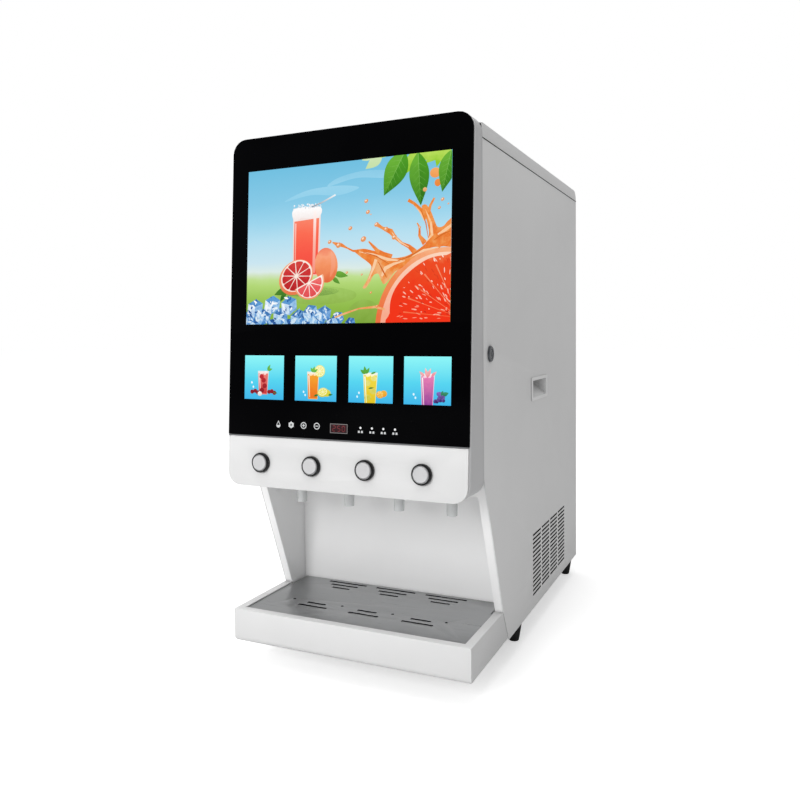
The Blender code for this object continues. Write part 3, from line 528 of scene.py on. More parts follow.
def make_shading_group():
    """Smooth shading that keeps every edge sharper than EDGE_ANGLE."""
    tree = bpy.data.node_groups.new("shade_by_angle", "GeometryNodeTree")
    tree.interface.new_socket("Geometry", in_out="INPUT", socket_type="NodeSocketGeometry")
    tree.interface.new_socket("Geometry", in_out="OUTPUT", socket_type="NodeSocketGeometry")
    w = Wiring(tree)
    given = w.add("NodeGroupInput").outputs["Geometry"]
    plain = w.add("GeometryNodeRemoveAttribute", {"Geometry": given, "Name": "custom_normal"})
    faces = w.add("GeometryNodeSetShadeSmooth", {"Shade Smooth": True}, domain="FACE")
    w.feed(faces.inputs[0], plain)
    angle = w.add("GeometryNodeInputMeshEdgeAngle").outputs["Unsigned Angle"]
    sharp = w.add("FunctionNodeCompare", {0: angle, 1: EDGE_ANGLE}, operation="GREATER_THAN")
    edges = w.add("GeometryNodeSetShadeSmooth", {"Shade Smooth": False}, domain="EDGE")
    w.feed(edges.inputs[0], faces)
    w.feed(edges.inputs["Selection"], sharp.outputs[0])
    w.feed(w.add("NodeGroupOutput").inputs[0], edges)
    return tree


def shade_smooth(obj):
    """Smooth shading on every edge but the sharp ones."""
    shade = obj.modifiers.new("shading", "NODES")
    shade.node_group = bpy.data.node_groups["shade_by_angle"]


def round_edges(obj, width, segments=3):
    """A small round on every sharp edge."""
    bevel = obj.modifiers.new("edges", "BEVEL")
    bevel.width = width
    bevel.segments = segments
    bevel.limit_method = "ANGLE"
    bevel.angle_limit = EDGE_ANGLE


def dress_node(node, material, edge=0.0):
    """A CAD node's finish: its triangles joined into flat faces, its edges eased, its curves smooth."""
    obj = NODES[node]
    for slot in obj.material_slots:
        slot.material = material
    weld = obj.modifiers.new("weld", "WELD")
    weld.merge_threshold = 0.00001
    flat = obj.modifiers.new("flat_faces", "DECIMATE")
    flat.decimate_type = "DISSOLVE"
    flat.angle_limit = math.radians(0.6)
    if edge:
        round_edges(obj, edge)
    shade_smooth(obj)


def piece_from(name, bm, material, body, place=Matrix.Identity(4)):
    """A new piece from a bmesh, in place, riding on a body."""
    bmesh.ops.recalc_face_normals(bm, faces=bm.faces)
    mesh = bpy.data.meshes.new(name)
    bm.to_mesh(mesh)
    bm.free()
    mesh.materials.append(material)
    obj = bpy.data.objects.new(name, mesh)
    obj.matrix_world = place
    bpy.context.scene.collection.objects.link(obj)
    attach(obj, body)
    return obj


def turn_profile(bm, profile, steps, place=Matrix.Identity(4)):
    """A turned solid in a bmesh: (radius, height) points round Z; a radius of 0 is a pole."""
    rings = []
    for radius, height in profile:
        if radius == 0:
            rings.append([bm.verts.new(place @ Vector((0, 0, height)))])
            continue
        ring = []
        for step in range(steps):
            angle = 2 * math.pi * step / steps
            spot = Vector((radius * math.cos(angle), radius * math.sin(angle), height))
            ring.append(bm.verts.new(place @ spot))
        rings.append(ring)
    pairs = list(zip(rings, rings[1:]))
    if profile[0][0] and profile[-1][0]:
        pairs.append((rings[-1], rings[0]))
    for low, high in pairs:
        for step in range(steps):
            after = (step + 1) % steps
            corners = [low[step % len(low)], low[after % len(low)]]
            corners += [high[after % len(high)], high[step % len(high)]]
            unique = list(dict.fromkeys(corners))
            if len(unique) > 2:
                bm.faces.new(unique)


def arc_points(centre, radius, start, end, steps=5):
    """Points of an arc, angles in degrees."""
    angles = [math.radians(start + (end - start) * i / steps) for i in range(steps + 1)]
    return [(centre[0] + radius * math.cos(a), centre[1] + radius * math.sin(a)) for a in angles]


# ---------------------------------------------------------------- the door's lit face

LAYER = 0.00006
MM = 0.001


def find_face():
    """A frame on the glass: origin in the middle of its lower edge, X right, Y up the slope, Z out."""
    glass = NODES["front_glass"].data
    facing = [p for p in glass.polygons if p.normal.y < -0.9]
    outward = max(facing, key=lambda p: p.area).normal.normalized()
    up = outward.cross(Vector((1, 0, 0)))
    low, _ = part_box("front_glass")
    place = Matrix((Vector((1, 0, 0)), up, outward)).transposed().to_4x4()
    place.translation = (0, low.y, low.z)
    return place


FACE = find_face()


def fade(*codes):
    """Colours spaced evenly from the foot of a shape to its top."""
    return [(i / (len(codes) - 1), code) for i, code in enumerate(codes)]


def lit_colour(name, stops, low, high, speckle=0.0, scale=60.0):
    """A colour that the screen shows: a blend from low to high in millimetres, with a mottle."""
    material, w, skin = new_material(name, roughness=0.06, specular=0.08)
    skin["Base Color"].default_value = tone("060606")
    up = w.add("ShaderNodeSeparateXYZ", {0: w.place()}).outputs["Y"]
    noise = w.noise(w.place(), scale, 4.0, 0.6)
    shifted = w.add("ShaderNodeMath", {0: noise, 1: -0.5}, operation="ADD")
    wander = w.add("ShaderNodeMath", {0: shifted, 1: speckle}, operation="MULTIPLY")
    share = w.rescale(up, low * MM, high * MM)
    place = w.add("ShaderNodeMath", {0: share, 1: wander}, operation="ADD")
    w.feed(skin["Emission Color"], w.ramp(place, [(position, tone(code)) for position, code in stops]))
    skin["Emission Strength"].default_value = 1.0
    return material


def oval(x, y, half_wide, half_high=None, turn=0.0, points=28):
    """An oval outline, or a circle when only one half width is given."""
    half_high = half_wide if half_high is None else half_high
    cos_turn, sin_turn = math.cos(math.radians(turn)), math.sin(math.radians(turn))
    outline = []
    for i in range(points):
        angle = 2 * math.pi * i / points
        u, v = half_wide * math.cos(angle), half_high * math.sin(angle)
        outline.append((x + u * cos_turn - v * sin_turn, y + u * sin_turn + v * cos_turn))
    return outline


def half_rings(x, y, outer, inner, points=20):
    """A ring as two closed halves."""
    halves = []
    for start in (0, 180):
        outside = arc_points((x, y), outer, start, start + 180, points)
        inside = arc_points((x, y), inner, start + 180, start, points)
        halves.append(outside + inside)
    return halves


def on_curve(before, start, end, after, t):
    """The point at t, from 0 at start to 1 at end, of a smooth curve through four points."""
    pull = 2 * start + (end - before) * t
    pull += (2 * before - 5 * start + 4 * end - after) * t * t
    pull += (3 * start - before - 3 * end + after) * t ** 3
    return pull / 2


def flowing(corners, steps=6):
    """A smooth closed outline through a few corners."""
    outline = []
    count = len(corners)
    for i in range(count):
        four = [Vector(corners[(i + k) % count]) for k in (-1, 0, 1, 2)]
        outline += [tuple(on_curve(*four, step / steps)) for step in range(steps)]
    return outline


def stroke(points, widths):
    """A line through points with a width at each, as one outline."""
    left, right = [], []
    for i, (point, width) in enumerate(zip(points, widths)):
        before, after = Vector(points[max(i - 1, 0)]), Vector(points[min(i + 1, len(points) - 1)])
        along = (after - before).normalized()
        side = Vector((-along.y, along.x)) * width / 2
        left.append(tuple(Vector(point) + side))
        right.append(tuple(Vector(point) - side))
    return left + right[::-1]


def leaf(x, y, length, width, turn, side=0):
    """A pointed leaf from its stalk at (x, y); side -1 or 1 gives one half of its blade."""
    forward = Vector((math.cos(math.radians(turn)), math.sin(math.radians(turn))))
    across = Vector((-forward.y, forward.x))
    count = 14
    edges = []
    for sign in (1, -1):
        edge = []
        for i in range(count + 1):
            t = i / count
            half = width / 2 * math.sin(math.pi * t ** 0.85) * (1 - 0.25 * t)
            if side and sign != side:
                half = 0.0
            edge.append(tuple(Vector((x, y)) + forward * length * t + across * half * sign))
        edges.append(edge)
    return edges[0] + edges[1][::-1]


def clipped(outline, wide, high):
    """The part of an outline inside a picture of this width and height."""
    for axis, limit, sign in ((0, 0, 1), (0, wide, -1), (1, 0, 1), (1, high, -1)):
        kept = []
        for i, point in enumerate(outline):
            before = outline[i - 1]
            inside = (point[axis] - limit) * sign >= 0
            was_inside = (before[axis] - limit) * sign >= 0
            if inside != was_inside:
                share = (limit - before[axis]) / (point[axis] - before[axis])
                kept.append(tuple(b + (p - b) * share for b, p in zip(before, point)))
            if inside:
                kept.append(point)
        outline = kept
    return outline


def without_repeats(outline):
    """An outline whose neighbouring points are at least a hundredth of a millimetre apart."""
    least = 0.01
    kept = []
    for point in outline:
        if not kept or math.dist(point, kept[-1]) > least:
            kept.append(point)
    while len(kept) > 1 and math.dist(kept[0], kept[-1]) <= least:
        kept.pop()
    return kept


def flat_shapes(name, outlines, level, material, corner=(0.0, 0.0)):
    """Thin plates on the door's face: outlines in millimetres from a corner, at a layer."""
    bm = bmesh.new()
    top = level * LAYER
    for outline in outlines:
        outline = without_repeats(outline)
        if len(outline) < 3:
            continue
        spots = [((corner[0] + x) * MM, (corner[1] + y) * MM) for x, y in outline]
        twice_area = sum(a[0] * b[1] - a[1] * b[0] for a, b in zip(spots, spots[1:] + spots[:1]))
        if twice_area < 0:
            spots.reverse()
        upper = [bm.verts.new((x, y, top)) for x, y in spots]
        lower = [bm.verts.new((x, y, top - LAYER * 0.7)) for x, y in spots]
        bm.faces.new(upper)
        bm.faces.new(lower[::-1])
        for i, vert in enumerate(upper):
            bm.faces.new((upper[i - 1], lower[i - 1], lower[i], vert))
    return piece_from(name, bm, material, "door", FACE)


class Picture:
    """A lit picture on the face, drawn in millimetres from its lower left corner."""

    def __init__(self, name, left, low, wide, high):
        self.name, self.corner, self.wide, self.high = name, (left, low), wide, high

    def draw(self, part, level, outlines, stops, low=0.0, high=None, speckle=0.0, scale=60.0):
        """Shapes in one colour blend that runs from low to high, cut off at the picture's border."""
        foot = self.corner[1]
        high = self.high if high is None else high
        name = f"{self.name}_{part}"
        material = lit_colour(name, stops, foot + low, foot + high, speckle, scale)
        kept = [clipped(outline, self.wide, self.high) for outline in outlines]
        flat_shapes(name, kept, level, material, self.corner)

    def backdrop(self, stops, speckle=0.0, scale=20.0):
        """The whole picture in one colour blend."""
        corners = ((0, 0), (self.wide, 0), (self.wide, self.high), (0, self.high))
        self.draw("backdrop", 1, [list(corners)], stops, speckle=speckle, scale=scale)


def citrus_segments(x, y, radius, count, start, end, gap=3.0, squash=1.0, turn=0.0):
    """The juicy wedges of a cut fruit between two angles, each a rounded triangle."""
    wedges = []
    step = (end - start) / count
    turned = math.radians(turn)
    for i in range(count):
        first, last = start + i * step + gap, start + (i + 1) * step - gap
        middle = math.radians((first + last) / 2)
        tip = (0.12 * radius * math.cos(middle), 0.12 * radius * math.sin(middle))
        outer = arc_points((0, 0), radius, first, last, 7)
        outline = [tip, tuple(0.93 * c for c in outer[0])] + outer[1:-1]
        outline.append(tuple(0.93 * c for c in outer[-1]))
        wedge = []
        for u, v in outline:
            v *= squash
            wedge.append((x + u * math.cos(turned) - v * math.sin(turned),
                          y + u * math.sin(turned) + v * math.cos(turned)))
        wedges.append(wedge)
    return wedges


def draw_sky_and_meadow(screen):
    """A meadow fading into a blue sky, two thin clouds, and shade on the grass."""
    stops = [(0.0, "7fae38"), (0.10, "8fbb48"), (0.17, "9cc65a"), (0.25, "b2d776"), (0.29, "bfdf90"),
             (0.315, "cfe3bd"), (0.34, "dbebe6"), (0.40, "cae5f0"), (0.54, "b6dff0"), (0.66, "9bd4ec"),
             (0.78, "86c9e6"), (1.0, "6fbfe0")]
    screen.backdrop(stops, speckle=0.05, scale=11.0)
    wisps = [flowing([(70, 196), (120, 203), (170, 199), (205, 208), (168, 214), (112, 211)]),
             flowing([(150, 214), (200, 223), (250, 219), (262, 228), (214, 233), (168, 226)])]
    screen.draw("clouds", 2, wisps, fade("8fcfea", "98d3ec", "88cae6"), 190, 235, 0.4, 60.0)
    shade = [flowing([(60, 44), (120, 30), (190, 34), (200, 48), (150, 58), (84, 56)]),
             flowing([(196, 4), (236, 2), (240, 26), (214, 36), (190, 22)])]
    screen.draw("meadow_shade", 2, shade, fade("7da53a", "8fb64c", "a3cb66"), 0, 60, 0.5, 70.0)


def draw_ice(screen):
    """A heap of ice cubes along the lower left, each with light, middle and dark faces."""
    dice = random.Random(11)
    kinds = ("ice_deep", "ice_dark", "ice_middle", "ice_light", "ice_white")
    faces = {kind: [] for kind in kinds}
    heap = ((17, 26, 15), (50, 31, 15), (82, 29, 15), (122, 16, 14), (146, 15, 13), (171, 7, 11),
            (193, 0, 9), (4, 10, 13), (33, 12, 14), (66, 12, 14), (100, 8, 15), (135, 3, 13),
            (20, 0, 13), (52, -2, 12), (84, -3, 13), (112, -4, 11), (158, -2, 11))
    for x, y, size in heap:
        rim = [Vector(p) for p in oval(x, y, size * 1.12, size * 0.98, dice.uniform(0, 60), 6)]
        middle = Vector((x + dice.uniform(-3, 3), y + dice.uniform(-3, 3)))
        for kind, corner in zip(("ice_dark", "ice_light", "ice_middle"), (0, 2, 4)):
            side = [middle, rim[corner], rim[corner + 1], rim[(corner + 2) % 6]]
            faces[kind].append([tuple(v) for v in side])
            heart = sum(side, Vector((0, 0))) / 4
            for _ in range(5):
                spot = heart + Vector((dice.uniform(-0.34, 0.34), dice.uniform(-0.34, 0.34))) * size
                other = dice.choice(("ice_deep", "ice_white", "ice_white", "ice_middle"))
                reach = dice.uniform(0.08, 0.2) * size
                faces[other].append(oval(spot.x, spot.y, reach * 1.8, reach * 0.7, dice.uniform(0, 180), 5))
    shades = {"ice_dark": ("1b4f98", "5d9cd4"), "ice_middle": ("3f82c8", "a4cdee"),
              "ice_light": ("86b9e4", "f1f9ff"), "ice_deep": ("153c7c", "2f6cb4"),
              "ice_white": ("c3dff2", "ffffff")}
    for level, (part, (dark, light)) in enumerate(shades.items(), 3):
        screen.draw(part, level, faces[part], [(0.1, dark), (0.9, light)], -6, 46, 1.8, 190.0)


def draw_tall_glass(screen):
    """A tall glass of juice with foam, a sugared rim and a straw."""
    left, right, foot, rim = 87, 138, 76, 184
    body = [(left + 1, foot), (right - 2, foot), (right, rim), (left, rim)]
    screen.draw("glass_wall", 2, [body], fade("f7b7a6", "f3ece9"), foot, rim, 0.1)
    juice = [(left + 3, foot + 2), (right - 5, foot + 2), (right - 3, 166), (left + 2.5, 163)]
    reds = [(0.0, "f04a3c"), (0.4, "f75544"), (0.75, "fb6a50"), (1.0, "f98468")]
    screen.draw("juice", 3, [juice], reds, foot, 166, 0.16)
    foam = flowing([(left + 2, 164), (104, 168), (122, 166), (right - 2, 168), (right - 2, 183),
                    (left + 2, 183)])
    screen.draw("foam", 3, [foam], fade("f3e7e4", "ffffff"), 162, 184, 0.7, 300.0)
    shine = [[(124, 80), (129, 80), (130, 178), (125, 178)], [(91.5, 84), (93, 84), (93, 160), (91.5, 160)]]
    screen.draw("glass_shine", 4, shine, fade("f68f7e", "fbb9a9", "fff7f4"), 80, 178)
    dice = random.Random(3)
    grains = [oval(dice.uniform(88, 138), dice.gauss(186, 1.6), dice.uniform(0.5, 1.5), None, 0, 7)
              for _ in range(60)]
    screen.draw("sugar_rim", 4, grains, fade("c3cddb", "ffffff"), 182, 190, 1.2, 500.0)
    straw = [stroke([(121, 184), (140, 190), (164, 200)], [2.0, 2.4, 2.6])]
    screen.draw("straw", 5, straw, fade("8d97a3", "f5f8fa"), 184, 201, 0.3)


def draw_fruit_beside_glass(screen):
    """A whole fruit, a cut half and a slice at the foot of the glass, with leaves."""
    shade = [oval(120, 50, 52, 7)]
    screen.draw("fruit_shade", 2, shade, fade("6f9a41", "86a957"), 42, 58, 0.4)
    leaves = [leaf(163, 78, 26, 11, -12), leaf(160, 72, 18, 8, -38), leaf(78, 56, 26, 12, 200),
              leaf(76, 52, 20, 9, 235)]
    screen.draw("ground_leaves", 3, leaves, fade("2c6b1b", "6dab3a"), 40, 82, 0.6, 120.0)
    whole = oval(149, 91, 20.5, 27.5, 6)
    oranges = [(0.0, "e0683c"), (0.45, "f3915f"), (0.75, "f9a47c"), (1.0, "ef7a5c")]
    screen.draw("whole_fruit", 4, [whole], oranges, 64, 120, 0.5)
    blush = flowing([(156, 72), (165, 86), (164, 102), (157, 112), (158, 92)])
    screen.draw("whole_fruit_shine", 5, [blush], fade("f2895d", "f7ae8d"), 70, 114, 0.3)
    screen.draw("half_rind", 5, [oval(94, 74, 33, 26.5, 28)], fade("e8774a", "f6b489"), 50, 102, 0.2)
    screen.draw("half_pith", 6, [oval(95, 76, 30, 23.5, 28)], fade("f7ded0", "fdf1e8"), 50, 102)
    flesh = citrus_segments(95, 76, 27.5, 10, 0, 360, 1.2, 0.80, 28)
    screen.draw("half_flesh", 7, flesh, fade("b3191f", "c92b2e", "d5443c"), 50, 102, 1.2, 240.0)
    lower_half = arc_points((0, 0), 1.0, 180, 360, 18)

    def slice_shape(radius, lift=0.0):
        """Half a disc, flat side up, lying tilted before the cut half."""
        turn = Matrix.Rotation(math.radians(24), 2)
        return [tuple(turn @ Vector((radius * u, radius * v - lift)) + Vector((118, 66)))
                for u, v in lower_half]

    screen.draw("slice_rind", 8, [slice_shape(28)], fade("ef9266", "f8c3a0"), 40, 80, 0.2)
    screen.draw("slice_pith", 9, [slice_shape(25.5, 0.2)], fade("fbe7dc", "fff6f0"), 40, 80)
    cut = citrus_segments(118, 65, 23.5, 5, 182, 358, 1.2, 1.0, 24)
    screen.draw("slice_flesh", 10, cut, fade("dd4a4e", "ea5a5c", "f28078"), 40, 80, 1.3, 240.0)


def draw_big_citrus(screen):
    """The big cut fruit in the lower right corner: rind, pith, flesh, its walls and its pulp."""
    x, y = 345, -9
    rind = [(0.0, "ea6a3c"), (0.6, "f08a52"), (1.0, "f7b184")]
    screen.draw("big_rind", 5, [oval(x, y, 109, 118, 0, 72)], rind, 0, 112, 0.5, 80.0)
    screen.draw("big_pith", 6, [oval(x + 3, y - 3, 104, 114, 0, 72)], fade("f6a88c", "fcd7bf"), 0, 112, 0.6)
    edge = [(261, -4), (260, 14), (261, 32), (267, 48), (277, 62), (290, 74), (304, 84), (319, 92), (334, 96),
            (350, 97), (372, 96), (372, -8)]
    flesh = [(0.0, "f22f0e"), (0.4, "ee3410"), (0.85, "ec4a1e"), (1.0, "ee6a3c")]
    screen.draw("big_flesh", 7, [flowing(edge, 4)], flesh, 0, 100, 0.6, 70.0)
    centre = Vector((372, 6))
    dice = random.Random(5)
    walls, glints, pulp = [], [], []
    for angle in (100, 116, 131, 146, 160, 174):
        along = Vector((math.cos(math.radians(angle)), math.sin(math.radians(angle))))
        reach = 98 + 6 * math.sin(math.radians(2 * angle))
        points = [tuple(centre + along * reach * t) for t in (0.12, 0.45, 0.75, 0.93)]
        walls.append(stroke(points, [0.7, 1.0, 1.3, 2.2]))
    screen.draw("big_walls", 8, walls, fade("f4653a", "f79a72"), 0, 100, 0.8, 90.0)
    for _ in range(150):
        angle, reach = dice.uniform(88, 182), dice.uniform(14, 100)
        along = Vector((math.cos(math.radians(angle)), math.sin(math.radians(angle))))
        spot = centre + along * reach
        wide, high = dice.uniform(1.2, 4.6), dice.uniform(0.35, 1.1)
        shape = oval(spot.x, spot.y, wide, high, angle + dice.uniform(-20, 20), 9)
        (glints if dice.random() < 0.62 else pulp).append(shape)
    screen.draw("big_pulp", 8, pulp, fade("c8200c", "e0431d"), 0, 100, 0.9, 120.0)
    screen.draw("big_glints", 9, glints, fade("f99a7c", "ffe3d3"), 0, 100, 1.6, 160.0)


def draw_splash(screen):
    """Juice thrown up from the big fruit: the wave, its arms, their lights and darks, and the drops."""
    wave = flowing([(203, 106), (198, 111), (206, 113), (217, 113), (229, 110), (240, 107), (252, 101),
                    (263, 97), (276, 97), (290, 100), (302, 106), (312, 112), (319, 119), (322, 131),
                    (319, 147), (314, 160), (310, 171), (317, 173), (325, 162), (331, 148), (336, 139),
                    (345, 140), (352, 147), (362, 150), (362, 112), (344, 110), (326, 109), (308, 102),
                    (292, 92), (280, 82), (268, 76), (258, 64), (250, 58), (245, 64), (240, 74),
                    (232, 72), (226, 62), (219, 53), (214, 54), (220, 63), (226, 76), (228, 86),
                    (220, 94), (211, 100)])
    orange = [(0.0, "efb27a"), (0.3, "ee8d40"), (0.5, "e8742a"), (0.75, "f09a52"), (1.0, "e9822f")]
    screen.draw("splash", 9, [wave], orange, 50, 185, 1.6, 55.0)
    arms = [stroke([(206, 110), (196, 111), (186, 116), (176, 121), (169, 122), (160, 126)],
                   [5, 3, 2.4, 5.5, 6.5, 2]),
            stroke([(262, 98), (248, 104), (238, 109), (229, 118), (223, 124)], [9, 6, 6, 4, 2]),
            stroke([(300, 104), (290, 113), (279, 118), (268, 127), (260, 137), (246, 143), (238, 148)],
                   [9, 6, 4, 5, 8.5, 4.5, 5.5]),
            stroke([(318, 152), (308, 166), (298, 176), (288, 182)], [9, 6.5, 4.5, 5]),
            stroke([(320, 158), (324, 172), (330, 182)], [6, 4, 3]),
            stroke([(316, 116), (307, 128), (307, 140), (303, 147)], [9, 4.5, 3, 2]),
            stroke([(334, 112), (350, 124), (362, 130)], [12, 14, 12]),
            stroke([(166, 9), (184, 15), (208, 22), (236, 24), (252, 20)], [2.5, 3, 2.2, 4, 3])]
    screen.draw("splash_arms", 10, arms, orange, 5, 185, 1.6, 60.0)
    lights = [stroke([(207, 109), (230, 104), (256, 95), (280, 92)], [1, 3.0, 4.5, 1]),
              stroke([(318, 118), (327, 128), (325, 146), (316, 166)], [1, 4.5, 3.4, 1]),
              stroke([(236, 96), (232, 84), (224, 66)], [5, 4.5, 1]),
              stroke([(246, 70), (252, 82), (266, 88), (284, 92)], [3.5, 6, 4, 1]),
              stroke([(296, 98), (314, 106), (338, 109)], [1, 3.5, 1]),
              stroke([(336, 128), (348, 134), (360, 142)], [2, 5, 4]),
              stroke([(290, 112), (276, 120), (262, 135)], [1, 2.4, 1]),
              stroke([(300, 172), (308, 162), (314, 150)], [1, 2.2, 1])]
    screen.draw("splash_lights", 11, lights, fade("f8c79b", "f9cfa8", "fbb978"), 60, 175, 1.6, 90.0)
    darks = [stroke([(214, 108), (236, 101), (258, 88)], [0.8, 1.8, 0.8]),
             stroke([(321, 124), (317, 146), (309, 166)], [0.8, 1.8, 0.8]),
             stroke([(240, 92), (248, 78), (254, 68)], [1, 2.4, 1]),
             stroke([(272, 92), (292, 98), (310, 107)], [1, 2.2, 1]),
             stroke([(330, 120), (344, 128), (356, 132)], [1, 2.0, 1])]
    screen.draw("splash_darks", 12, darks, fade("c9601f", "dd7327"), 60, 175, 0.9, 90.0)
    spots = [(155, 127, 3.6), (171, 121, 5.0), (218, 186, 3.6), (221, 169, 3.6), (226, 165, 1.4),
             (236, 149, 4.0), (191, 146, 3.6), (214, 128, 5.0), (266, 128, 4.4), (252, 141, 4.0),
             (307, 140, 2.4), (343, 179, 3.0), (186, 78, 2.2), (212, 74, 1.8), (228, 46, 2.0),
             (338, 167, 2.6), (352, 172, 1.6), (239, 25, 2.6)]
    drops = [oval(x, y, size, size * 0.78, 35, 16) for x, y, size in spots]
    screen.draw("droplets", 11, drops, fade("e98a45", "e59d68"), 20, 210, 0.9, 200.0)
    glow = [oval(x - size * 0.2, y + size * 0.2, size * 0.45, size * 0.3, 35, 10) for x, y, size in spots]
    screen.draw("droplet_lights", 12, glow, fade("fbd0ad", "fde6d2"), 20, 210)


def draw_hanging_leaves(screen):
    """Leaves and small fruit hanging in from the top: pale far ones, bright ones, three near blades."""
    pale = [leaf(244, 254, 34, 19, 214), leaf(228, 256, 20, 12, 200), leaf(356, 252, 22, 11, 200),
            leaf(312, 256, 22, 14, 262), leaf(356, 232, 20, 9, 150)]
    screen.draw("leaf_pale", 11, pale, fade("a9cf86", "cfe5b4"), 200, 252, 0.4, 100.0)
    bright = [leaf(292, 258, 46, 24, 302), leaf(304, 256, 44, 22, 236), leaf(330, 260, 40, 26, 212),
              leaf(322, 262, 46, 24, 330), leaf(346, 262, 42, 24, 222), leaf(340, 256, 30, 15, 256),
              leaf(262, 262, 34, 18, 196)]
    screen.draw("leaf_bright", 12, bright, fade("6fa81c", "8fc92a", "b9de5c"), 205, 252, 0.7, 80.0)
    fruit = [oval(331, 219, 8.5, 7.5), oval(335, 204, 5.0, 5.5)]
    screen.draw("hanging_fruit", 13, fruit, fade("ea7f2c", "f6b06a"), 198, 228, 0.5)
    blades = [(282, 256, 73, 41, 242), (303, 252, 80, 36, 274), (356, 250, 62, 30, 257)]
    tones = {"leaf_dark_side": (1, "2c6f12", "4a9a20"), "leaf_light_side": (-1, "39801a", "68b034")}
    for level, (part, (side, dark, light)) in enumerate(tones.items(), 14):
        halves = [leaf(x, y, length, wide, turn, side) for x, y, length, wide, turn in blades]
        screen.draw(part, level, halves, [(0.1, dark), (0.9, light)], 172, 250, 0.7, 60.0)
    ribs = []
    for x, y, length, wide, turn in blades:
        forward = Vector((math.cos(math.radians(turn)), math.sin(math.radians(turn))))
        across = Vector((-forward.y, forward.x))
        start = Vector((x, y))
        ribs.append(stroke([tuple(start), tuple(start + forward * length * 0.92)], [1.1, 0.3]))
        for share in (0.2, 0.32, 0.44, 0.56, 0.68, 0.8):
            spot = start + forward * length * share
            for sign in (1, -1):
                reach = across * sign * wide * (0.36 - 0.2 * share) + forward * length * 0.11
                ribs.append(stroke([tuple(spot), tuple(spot + reach)], [0.5, 0.15]))
    screen.draw("leaf_ribs", 16, ribs, fade("5fa838", "86c25c"), 172, 250)
    screen.draw("leaf_drop", 17, [oval(315, 195.5, 3.4, 3.2)], fade("e08a3e", "f2c48e"), 190, 200)


def draw_main_screen():
    """The big picture, from the back to the front."""
    screen = Picture("screen", -178.5, 180.0, 357.0, 250.5)
    draw_sky_and_meadow(screen)
    draw_ice(screen)
    draw_tall_glass(screen)
    draw_fruit_beside_glass(screen)
    draw_big_citrus(screen)
    draw_splash(screen)
    draw_hanging_leaves(screen)


CARD_MIDDLES = (-142.0, -45.5, 51.0, 144.0)
CARD_SIZE = (75.0, 71.0)
CARD_LOW = 58.5


def draw_card_glass(card, x, low, top, half_top, half_low, liquid):
    """A tumbler on a card: wall, drink, and a shine down its left side."""
    wall = [(x - half_low, low), (x + half_low, low), (x + half_top, top), (x - half_top, top)]
    card.draw("tumbler", 2, [wall], [(0.0, liquid[1]), (1.0, "eef7f4")], low, top + 6)
    level = top - 4
    drink = [(x - half_low + 1, low + 1.5), (x + half_low - 1, low + 1.5), (x + half_top - 1.2, level),
             (x - half_top + 1.2, level)]
    card.draw("drink", 3, [drink], [(0.0, liquid[0]), (1.0, liquid[1])], low, level, 0.5, 160.0)
    shine = [stroke([(x - half_low + 3.0, low + 3), (x - half_top + 3.4, level - 2)], [1.2, 1.8])]
    card.draw("shine", 5, shine, [(0.0, liquid[2]), (1.0, "ffffff")], low, top)
    ice = [oval(x - 3.5, level, 4.2, 2.8, 20, 6), oval(x + 3.8, level + 0.6, 4.0, 2.7, 50, 6)]
    card.draw("ice", 4, ice, [(0.0, liquid[2]), (1.0, "ffffff")], level - 3, level + 4, 0.6, 300.0)


def draw_berry_card(card):
    """A red drink with berries, a lychee and mint."""
    draw_card_glass(card, 36, 8, 46, 10.5, 8, ("c3202a", "ee7f76", "f9c6be"))
    beside = ((15, 12), (21, 13.5), (26, 11), (48, 12.5), (53, 13.5), (58, 11))
    inside = ((37, 31), (33, 37), (39, 22), (34, 15))
    berries = [oval(x, y, 3.6, 3.4) for x, y in beside]
    berries += [oval(x, y, 4.2, 4.0) for x, y in inside]
    card.draw("berries", 6, berries, fade("7d1220", "c52a31"), 6, 42, 0.9, 220.0)
    card.draw("lychee", 7, [oval(30, 9, 4.2, 3.8)], fade("d9c9c4", "fffaf6"), 5, 13)
    mint = [leaf(44, 47, 11, 5, 60), leaf(44, 47, 10, 5, 15), leaf(55, 12, 9, 3.4, -10)]
    card.draw("mint", 6, mint, fade("3a7a35", "6fbf4c"), 8, 58, 0.5, 150.0)


def draw_lemon_card(card):
    """An orange drink with lemon slices and mint."""
    draw_card_glass(card, 33, 3, 46, 11, 8.5, ("ea6a1a", "f7a52c", "ffd58c"))
    rinds = [oval(45, 47, 9.5), oval(51, 14, 9.5, 7.2, 12), oval(58, 13, 7, 5.6)]
    card.draw("slice_rind", 4, rinds, fade("d6cf2f", "f2ee7e"), 6, 58)
    piths = [oval(45, 47, 8.0), oval(51, 14.6, 7.8, 5.6, 12)]
    card.draw("slice_pith", 5, piths, fade("faf7c8", "fffde0"), 6, 58)
    flesh = citrus_segments(45, 47, 7.2, 8, 0, 360, 4)
    flesh += citrus_segments(51, 14.6, 6.8, 8, 0, 360, 4, 0.7, 12)
    card.draw("slice_flesh", 6, flesh, fade("e6dd4b", "f7f19a"), 6, 58, 0.6, 260.0)
    mint = [leaf(33, 45, 10, 5, 75), leaf(33, 45, 9, 4.6, 120), leaf(34, 45, 9, 4.4, 35),
            leaf(43, 10, 9, 4, 195), leaf(61, 10, 8, 3.6, 10)]
    card.draw("mint", 7, mint, fade("2f7a30", "74c54a"), 8, 56, 0.5, 150.0)


